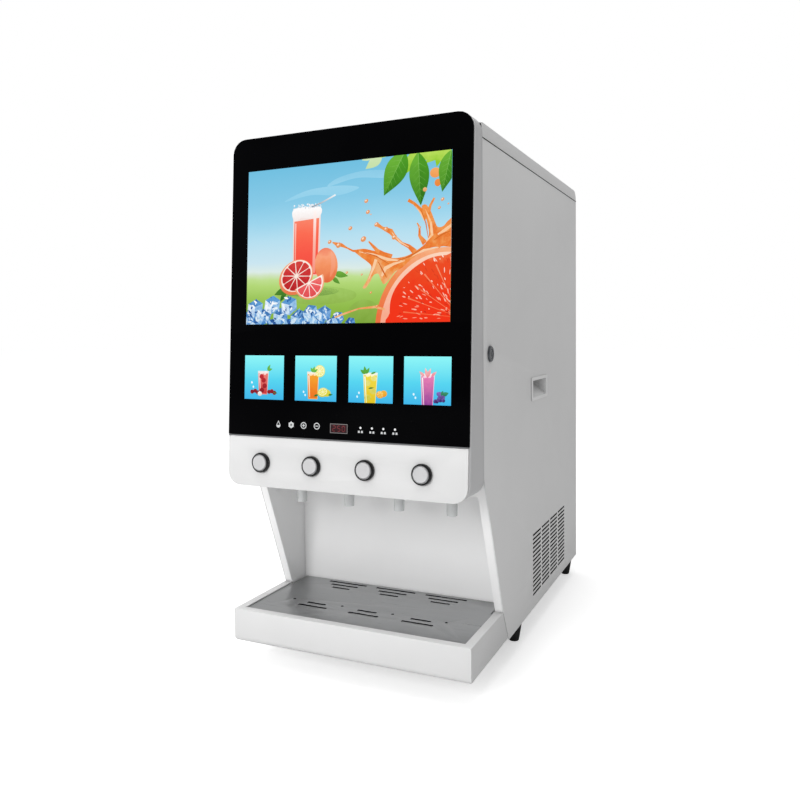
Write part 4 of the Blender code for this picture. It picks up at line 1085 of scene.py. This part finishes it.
def draw_kumquat_card(card):
    """A yellow drink with floating slices, kumquats and mint."""
    draw_card_glass(card, 37, -3, 46, 12.5, 9, ("e2c21a", "f0dc45", "fbf4a8"))
    floating = [oval(32, 30, 5.4, 4.6), oval(42, 18, 5.6, 4.6), oval(33, 8, 5.6, 4.6), oval(43, 37, 5.0, 4.0)]
    card.draw("floating_slices", 4, floating, fade("c9c02c", "efe98a"), 0, 44, 1.4, 160.0)
    mint = [leaf(29, 44, 12, 6, 100), leaf(29, 44, 11, 6, 145), leaf(30, 44, 11, 5.4, 60),
            leaf(38, 44, 10, 3.4, 20), leaf(34, 22, 10, 2.6, 8)]
    card.draw("mint", 6, mint, fade("2d6f2a", "66b843"), 20, 58, 0.5, 150.0)
    fruit = [oval(54, 13, 6.5, 5.6), oval(60, 14.5, 5.6, 5.0)]
    card.draw("kumquats", 4, fruit, fade("e28a1c", "f8bf3f"), 6, 21, 0.5, 160.0)
    cut = citrus_segments(54, 13, 5.2, 7, 0, 360, 5)
    card.draw("kumquat_cut", 5, cut, fade("f6b13a", "fce08a"), 7, 19)


def draw_grape_card(card):
    """A purple drink with petals, grapes and vine leaves."""
    draw_card_glass(card, 38, -3, 46, 11.5, 8.5, ("8c3a96", "e87fb4", "f7c0da"))
    petals = [leaf(38, 40, 15, 5.5, 105), leaf(38, 40, 15, 5.5, 70), leaf(44, 42, 11, 5, 40),
              leaf(33, 42, 11, 5, 140)]
    card.draw("petals", 6, petals, fade("e8738a", "fbd7cf"), 38, 57, 0.8, 180.0)
    dice = random.Random(2)
    cluster = [oval(57 + dice.uniform(-7, 7), 11 + dice.uniform(-6, 6), 2.7) for _ in range(24)]
    card.draw("grapes", 5, cluster, fade("35245f", "8c6fc4"), 3, 20, 1.8, 330.0)
    leaves = [leaf(62, 15, 10, 7, 20), leaf(60, 14, 8, 5, 70)]
    card.draw("grape_leaf", 6, leaves, fade("1f6d4c", "4aa77c"), 12, 24, 0.4, 150.0)


def draw_cards():
    """Four small pictures, one above each button: a drink and the fruit that it is made of."""
    glow = [(0.0, "3fb6ea"), (0.45, "55d5f0"), (1.0, "8df6f7")]
    cards = []
    for number, middle in zip(FLAVOURS, CARD_MIDDLES):
        card = Picture(f"card_{number}", middle - CARD_SIZE[0] / 2, CARD_LOW, *CARD_SIZE)
        card.backdrop(glow, 0.05, 30.0)
        cards.append(card)
    for draw_card, card in zip((draw_berry_card, draw_lemon_card, draw_kumquat_card, draw_grape_card), cards):
        draw_card(card)
    beads_at = (((17, 20), (14, 27)), ((16, 14), (19, 9)), ((18, 15), (15, 9)), ((19, 10), (16, 15)))
    for card, spots in zip(cards, beads_at):
        beads = [oval(x, y, 1.5, 1.9, 10, 12) for x, y in spots]
        card.draw("beads", 2, beads, fade("d8f6ff", "ffffff"), 8, 30)


SEVEN_BARS = {"0": "abcdef", "2": "abged", "5": "afgcd"}
ICON_LINE = 19.5


def digit_bars(x, y, wide, high, character):
    """The lit bars of one seven-segment figure."""
    thick = wide * 0.2
    ends = {"a": ((0, 1), (1, 1)), "g": ((0, 0.5), (1, 0.5)), "d": ((0, 0), (1, 0)),
            "f": ((0, 0.5), (0, 1)), "b": ((1, 0.5), (1, 1)), "e": ((0, 0), (0, 0.5)),
            "c": ((1, 0), (1, 0.5))}
    bars = []
    for bar in SEVEN_BARS[character]:
        (u0, v0), (u1, v1) = ends[bar]
        start = Vector((x + u0 * wide, y + v0 * high))
        end = Vector((x + u1 * wide, y + v1 * high))
        inset = (end - start).normalized() * thick * 0.6
        start, end = start + inset, end - inset
        bars.append(stroke([tuple(start), tuple(end)], [thick, thick]))
    return bars


def draw_touch_marks(printed):
    """A drop, a star in a ring, a plus and a minus in rings."""
    drop_x, star_x, plus_x, minus_x = -113, -89, -66, -42
    y, line = ICON_LINE, 1.3
    round_end = arc_points((0, -1.6), 3.7, 160, 380, 20)
    drop = [(drop_x + u, y + v) for u, v in round_end] + [(drop_x, y + 6.0)]
    inner = [(drop_x + u * 0.74, y - 0.4 + v * 0.74) for u, v in round_end] + [(drop_x, y + 4.0)]
    marks = [drop]
    marks += half_rings(star_x, y, 4.7, 2.4)
    hub = Vector((star_x, y))
    for k in range(6):
        spoke = Vector((math.cos(math.radians(60 * k + 30)), math.sin(math.radians(60 * k + 30))))
        marks.append(stroke([tuple(hub + spoke * 1.2), tuple(hub + spoke * 5.6)], [1.2, 1.0]))
    for x in (plus_x, minus_x):
        marks += half_rings(x, y, 5.3, 4.0)
        marks.append(stroke([(x - 2.6, y), (x + 2.6, y)], [line, line]))
    marks.append(stroke([(plus_x, y - 2.6), (plus_x, y - line / 2)], [line, line]))
    marks.append(stroke([(plus_x, y + line / 2), (plus_x, y + 2.6)], [line, line]))
    flat_shapes("touch_marks", marks, 1, printed)
    hollow = [p for p in inner if p[1] > y - 1.2]
    dark = lit_colour("mark_hollow", fade("0a0a0b", "101012"), 0, 40, 0.2)
    flat_shapes("drop_hollow", [hollow], 2, dark)


def draw_number_window():
    """A small framed window with a red three-figure number."""
    left, right, low, high, rim = -18.0, 12.5, 10.0, 24.6, 0.9
    figure_wide, figure_high, figure_pitch = 4.6, 8.2, 8.3
    window = [[(left, low), (right, low), (right, low + rim), (left, low + rim)],
              [(left, high - rim), (right, high - rim), (right, high), (left, high)],
              [(left, low + rim), (left + rim, low + rim), (left + rim, high - rim), (left, high - rim)],
              [(right - rim, low + rim), (right, low + rim), (right, high - rim), (right - rim, high - rim)]]
    frame_grey = lit_colour("window_frame_print", fade("7f7c7d", "95918f"), 0, 40, 0.3)
    flat_shapes("window_frame", window, 1, frame_grey)
    inside = [(left + rim, low + rim), (right - rim, low + rim), (right - rim, high - rim),
              (left + rim, high - rim)]
    red_glow = lit_colour("window_glow", fade("2e1a1d", "3c262a"), 10, 25, 0.6, 300.0)
    flat_shapes("window_ground", [inside], 1, red_glow)
    bars = []
    for i, character in enumerate("250"):
        x = left + 4.6 + i * figure_pitch
        bars += digit_bars(x, low + 3.2, figure_wide, figure_high, character)
    flat_shapes("window_digits", bars, 2, lit_colour("window_red", fade("7c3438", "94474a"), 10, 25, 0.3))


def draw_signal_lamps(printed):
    """Four small lamps, each over two plain printed bars."""
    y = ICON_LINE
    lamps, bars = [], []
    for x in (35.0, 54.5, 73.7, 93.0):
        lamps.append(oval(x, y + 0.6, 1.7, None, 0, 16))
        for side in (-2.6, 2.6):
            middle = x + side
            bars.append([(middle - 1.7, y - 7.0), (middle + 1.7, y - 7.0), (middle + 1.3, y - 3.8),
                         (middle - 1.3, y - 3.8)])
    flat_shapes("signal_lamps", lamps, 1, lit_colour("lamp_light", fade("f2f4f5", "ffffff"), 0, 40))
    flat_shapes("lamp_bars", bars, 1, printed)


def draw_icons():
    """What is printed and lit along the foot of the glass."""
    printed = lit_colour("printed_marks", fade("cfd1d2", "e4e6e7"), 0, 40, 0.3, 200.0)
    draw_touch_marks(printed)
    draw_number_window()
    draw_signal_lamps(printed)


# ---------------------------------------------------------------- pieces on the door


def make_trim_strip(material):
    """The thin bright moulding between the glass and the button panel."""
    panel_low, panel_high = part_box("button_panel")
    gap = (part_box("front_glass")[0].z - panel_high.z) / FACE[2][1]
    half, ease, inner = (panel_high.x - panel_low.x) / 2, 0.0002, -0.0040
    bm = bmesh.new()
    section = [(inner, -gap + ease), (0.0004, -gap + ease), (0.0009, -gap + 0.0008), (0.0006, -ease),
               (inner, -ease)]
    ends = [[bm.verts.new((x, up, out)) for out, up in section] for x in (-half, half)]
    bm.faces.new(ends[0])
    bm.faces.new(ends[1][::-1])
    for i in range(len(section)):
        bm.faces.new((ends[0][i - 1], ends[1][i - 1], ends[1][i], ends[0][i]))
    strip = piece_from("trim_strip", bm, material, "door", FACE)
    round_edges(strip, 0.00015, 2)
    shade_smooth(strip)


def button_place(number):
    """A frame on the face at a button: Z points out of the door."""
    low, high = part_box(f"button_bezel_{number}")
    middle = FACE.inverted() @ ((low + high) / 2)
    return FACE @ Matrix.Translation((middle.x, middle.y, 0))


def turned_piece(name, profile, place, material, body):
    """A finely turned piece on the face, from (radius, height above the glass) points."""
    bm = bmesh.new()
    turn_profile(bm, profile, 72)
    piece = piece_from(name, bm, material, body, place)
    shade_smooth(piece)
    return piece


def make_buttons(gloss, polish, satin):
    """Finely turned bezels and caps in place of the faceted ones, and a bright ring inside each bezel."""
    bore, barrel, flange, flange_foot = 0.0127, 0.0139, 0.0160, 0.0003
    bezel = [(bore, -0.0200), (bore, 0.0052)] + arc_points((0.0139, 0.0052), 0.0012, 180, 90, 4)
    bezel += arc_points((0.0135, 0.0040), 0.0024, 78, 8, 6) + [(flange, 0.0028), (flange, flange_foot)]
    bezel += [(barrel, flange_foot), (barrel, -0.0230), (0.0, -0.0230), (0.0, -0.0200)]
    ring = [(0.0128 + u, 0.0062 + v) for u, v in arc_points((0.0, 0.0), 0.0004, 0, 360, 10)[:-1]]
    cap = [(0.0, 0.0074), (0.0060, 0.0075), (0.0098, 0.0077)]
    cap += arc_points((0.0106, 0.0064), 0.0014, 90, 0, 6)
    cap += [(0.0121, 0.0058), (0.0121, -0.0118), (0.0, -0.0118)]
    for number in FLAVOURS:
        place = button_place(number)
        turned = turned_piece(f"bezel_{number}", bezel, place, gloss, "door")
        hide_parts(f"button_bezel_{number}")
        turned_piece(f"bezel_ring_{number}", ring, place, polish, "door")
        turned = turned_piece(f"cap_{number}", cap, place, satin, f"button_{number}")
        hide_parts(f"button_cap_{number}")


# ---------------------------------------------------------------- pieces on the cabinet

HOSE_RADIUS = 0.0040
PUMP_BARB_Y = -0.147
HOSE_DROP = (0.030, -0.068)


def tube(name, corners, material):
    """A hose on the cabinet through a few corners, on one smooth curve."""
    steps = 7
    points = [Vector(c) for c in corners]
    points = [points[0]] + points + [points[-1]]
    route = []
    for four in zip(points, points[1:], points[2:], points[3:]):
        route += [on_curve(*four, step / steps) for step in range(steps)]
    route.append(points[-1])
    curve = bpy.data.curves.new(name, "CURVE")
    curve.dimensions = "3D"
    curve.bevel_depth = HOSE_RADIUS
    curve.bevel_resolution = 3
    curve.use_fill_caps = True
    spline = curve.splines.new("POLY")
    spline.points.add(len(route) - 1)
    for point, spot in zip(spline.points, route):
        point.co = (*spot, 1.0)
    curve.materials.append(material)
    obj = bpy.data.objects.new(name, curve)
    bpy.context.scene.collection.objects.link(obj)
    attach(obj, "cabinet")


def make_bottle_hoses(number, x, neck_y, cap_z, shelf_z):
    """From the bottle's cap down behind the shelf to its pump, and from the pump to its nozzle."""
    barb_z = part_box(f"pump_{number}")[0].z + 0.010
    nozzle_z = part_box(f"nozzle_{number}")[1].z - 0.006
    down_x, down_y = x + HOSE_DROP[0], HOSE_DROP[1]
    wet = clear_plastic(f"hose_{number}", scaled(DRINKS[number - 1], 1.1), 0.2, 0.35)
    suction = [(x, neck_y, cap_z - 0.004), (x, neck_y, cap_z + 0.014),
               (x + 0.006, neck_y + 0.016, cap_z + 0.030), (x + 0.016, neck_y + 0.055, cap_z + 0.034),
               (x + 0.025, neck_y + 0.088, cap_z + 0.016), (down_x, down_y, cap_z - 0.03),
               (down_x, down_y, 0.60), (down_x, down_y, 0.45), (down_x, down_y, shelf_z - 0.03),
               (x + 0.029, -0.078, 0.335), (x + 0.024, -0.108, 0.3125), (x + 0.015, -0.135, 0.3105),
               (x + 0.012, PUMP_BARB_Y, 0.3160), (x + 0.012, PUMP_BARB_Y, barb_z)]
    tube(f"suction_hose_{number}", suction, wet)
    delivery = [(x - 0.012, PUMP_BARB_Y, barb_z), (x - 0.012, PUMP_BARB_Y - 0.001, 0.3160),
                (x - 0.010, -0.160, 0.3110), (x - 0.004, -0.186, 0.3160), (x, -0.208, 0.3330),
                (x, -0.226, 0.3440), (x, -0.2375, 0.3410), (x, -0.238, nozzle_z)]
    tube(f"delivery_hose_{number}", delivery, wet)


def make_shelf_grommet(number, x, shelf_z, material):
    """The rubber ring where the suction hose passes the shelf."""
    bore, outer = 0.0038, 0.0085
    bm = bmesh.new()
    turn_profile(bm, [(bore, 0.0), (outer, 0.0), (outer, 0.0020), (0.0062, 0.0034), (bore, 0.0034)], 32)
    place = Matrix.Translation((x + HOSE_DROP[0], HOSE_DROP[1], shelf_z + 0.002))
    grommet = piece_from(f"shelf_grommet_{number}", bm, material, "cabinet", place)
    shade_smooth(grommet)


def make_bottle_cap(number, x, neck_y, cap_z, material):
    """A screw cap with a ribbed grip."""
    ribs, crest, valley = 36, 0.0280, 0.0274
    skirt_high, crown_high, crown_radius = 0.022, 0.0262, 0.024
    grip = []
    for rib in range(ribs):
        angle = 2 * math.pi * rib / ribs
        grip.append((angle, crest))
        grip.append((angle + math.pi / ribs, valley))
    bm = bmesh.new()
    foot = [bm.verts.new((r * math.cos(a), r * math.sin(a), 0.0)) for a, r in grip]
    shoulder = [bm.verts.new((r * math.cos(a), r * math.sin(a), skirt_high)) for a, r in grip]
    crown = []
    for a, _ in grip:
        crown.append(bm.verts.new((crown_radius * math.cos(a), crown_radius * math.sin(a), crown_high)))
    for low, high in ((foot, shoulder), (shoulder, crown)):
        for i in range(len(grip)):
            bm.faces.new((low[i - 1], low[i], high[i], high[i - 1]))
    bm.faces.new(foot[::-1])
    bm.faces.new(crown)
    place = Matrix.Translation((x, neck_y, cap_z - crown_high))
    cap = piece_from(f"bottle_cap_{number}", bm, material, "cabinet", place)
    shade_smooth(cap)


def make_bottle_fittings(finishes):
    """The hoses, the shelf grommet and the cap of each flavour's bottle."""
    shelf_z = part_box("syrup_shelf")[0].z
    for number in FLAVOURS:
        low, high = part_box(f"syrup_bottle_{number}")
        x, neck_y = (low.x + high.x) / 2, (low.y + high.y) / 2
        make_bottle_hoses(number, x, neck_y, high.z, shelf_z)
        make_shelf_grommet(number, x, shelf_z, finishes["rubber"])
        make_bottle_cap(number, x, neck_y, high.z, finishes["black_plastic"])


def add_screw_head(bm, place, radius=0.0034, high=0.0018):
    """A pan head with a cross recess: four raised quarters round a sunken cross."""
    floor = high * 0.35
    turn_profile(bm, [(0.0, 0.0), (radius, 0.0), (radius, floor), (0.0, floor)], 32, place)
    for quarter in range(4):
        turn = place @ Matrix.Rotation(math.radians(90 * quarter), 4, "Z")
        slit = radius * 0.16
        outline = [(slit, slit)] + [(radius * math.cos(a), radius * math.sin(a)) for a in
                                    (math.radians(12 + 66 * i / 6) for i in range(7))]
        lower = [bm.verts.new(turn @ Vector((u, v, floor * 0.5))) for u, v in outline]
        upper = [bm.verts.new(turn @ Vector((u * 0.86, v * 0.86, high))) for u, v in outline]
        bm.faces.new(lower[::-1])
        bm.faces.new(upper)
        for i in range(len(outline)):
            bm.faces.new((lower[i - 1], lower[i], upper[i], upper[i - 1]))


def make_seam_shade_seal(material):
    """A dark round-nosed seal in the seam under the lid, down both sides and across the back; its dark colour
    is painted shade, standing in for the seam's shadow line.
    """
    low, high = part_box("top_cover")
    half_high, proud, clear = 0.0008, 0.0004, 0.00003
    section = [(clear, -half_high), (clear + proud * 0.7, -half_high * 0.8), (clear + proud, 0.0)]
    section += [(clear + proud * 0.7, half_high * 0.8), (clear, half_high)]
    front = low.y + 0.0006
    route = [((high.x, front), (1, 0)), ((high.x, high.y), (1, 1))]
    route += [((low.x, high.y), (-1, 1)), ((low.x, front), (-1, 0))]
    bm = bmesh.new()
    rings = []
    for (x, y), (side, back) in route:
        ring = [bm.verts.new((x + side * out, y + back * out, low.z - 0.0005 + up)) for out, up in section]
        rings.append(ring)
    bm.faces.new(rings[0])
    bm.faces.new(rings[-1][::-1])
    for first, second in zip(rings, rings[1:]):
        for i in range(len(section)):
            bm.faces.new((first[i - 1], first[i], second[i], second[i - 1]))
    seal = piece_from("seam_shade_seal", bm, material, "cabinet")
    shade_smooth(seal)


def make_rear_screws(finishes):
    """Eight screws round the rim of the rear panel, none at its middle."""
    low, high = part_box("rear_panel")
    inset, middle = 0.012, (low.z + high.z) / 2
    outward = Matrix.Rotation(math.radians(-90), 4, "X")
    bm = bmesh.new()
    for x in (low.x + inset, 0.0, high.x - inset):
        for z in (low.z + inset, middle, high.z - inset):
            if x or z != middle:
                add_screw_head(bm, Matrix.Translation((x, high.y, z)) @ outward)
    screws = piece_from("rear_screws", bm, finishes["chrome"], "cabinet")
    shade_smooth(screws)


# ---------------------------------------------------------------- putting it together

EDGES = {
    "front_glass": 0.0004, "button_panel": 0.0010, "door_shell": 0.0006, "drip_tray": 0.0009,
    "side_panel_left": 0.0003, "side_panel_right": 0.0003, "top_cover": 0.0010, "rear_panel": 0.0003,
    "bay_liner": 0.0006, "drip_plate": 0.0003, "grip_cup_left": 0.0004, "grip_cup_right": 0.0004,
    "lock_housing": 0.0003, "lock_cylinder": 0.0002, "front_frame": 0.0008, "syrup_shelf": 0.0004,
    "foot_front_left": 0.0008, "foot_front_right": 0.0008, "foot_rear_left": 0.0008,
    "foot_rear_right": 0.0008, "power_inlet": 0.0005, "power_switch": 0.0006, "door_back_panel": 0.0003,
    "hinge_bracket_top": 0.0004, "hinge_bracket_bottom": 0.0004, "door_catch": 0.0003,
}


def dress_frame(finishes):
    """Every CAD node gets the finish of its slot, and its own edge."""
    special = special_finishes()
    for row in frame["record"]["subparts"]:
        node = row["node"]
        material = special.get(node, finishes[row["material_slot"]])
        if node.startswith("syrup_bottle"):
            number = int(node[-1])
            material = filled_bottle(f"bottle_of_drink_{number}", DRINKS[number - 1], 0.70 - 0.03 * number)
        dress_node(node, material, EDGES.get(node, 0.0))


def lay_floor():
    """A large floor of white paper with a little glow of its own, so that it meets the white room."""
    bm = bmesh.new()
    bmesh.ops.create_grid(bm, x_segments=4, y_segments=4, size=FLOOR_SIZE / 2)
    mesh = bpy.data.meshes.new("floor")
    bm.to_mesh(mesh)
    bm.free()
    material, w, skin = new_material("floor_paper", roughness=0.9, specular=0.0)
    drift = w.rescale(w.noise(w.place(), 3.0, 2.0), 0.0, 1.0)
    paper = w.mix(drift, (0.80, 0.80, 0.80, 1.0), (0.81, 0.81, 0.81, 1.0))
    seen = w.add("ShaderNodeLightPath").outputs["Is Camera Ray"]
    w.feed(skin["Base Color"], w.mix(seen, (0.7, 0.7, 0.7, 1.0), paper))
    skin["Emission Color"].default_value = (1.0, 1.0, 1.0, 1.0)
    w.feed(skin["Emission Strength"], w.maths("MULTIPLY", seen, FLOOR_GLOW))
    mesh.materials.append(material)
    floor = bpy.data.objects.new("floor", mesh)
    bpy.context.scene.collection.objects.link(floor)


def main():
    """Stage, finishes, CAD meshes, then the visual pieces."""
    place_camera()
    light_the_room()
    lay_floor()
    for make_group in (make_powder_grain, make_edge_wear, make_crevice_dust_and_shade, make_hand_marks,
                       make_brushed_lines):
        make_group()
    make_shading_group()
    finishes = make_finishes()
    dress_frame(finishes)
    gloss = moulded_plastic("gloss_black", tone("08080a"), 0.12, 2600.0, 0.00001, 0.3)
    make_trim_strip(metal("trim_metal", tone("8e8f91"), 0.3, (9.0, 900.0, 900.0)))
    make_seam_shade_seal(finishes["rubber"])
    make_buttons(gloss, finishes["chrome"], finishes["silver_plastic"])
    draw_main_screen()
    draw_cards()
    draw_icons()
    make_bottle_fittings(finishes)
    make_rear_screws(finishes)


main()
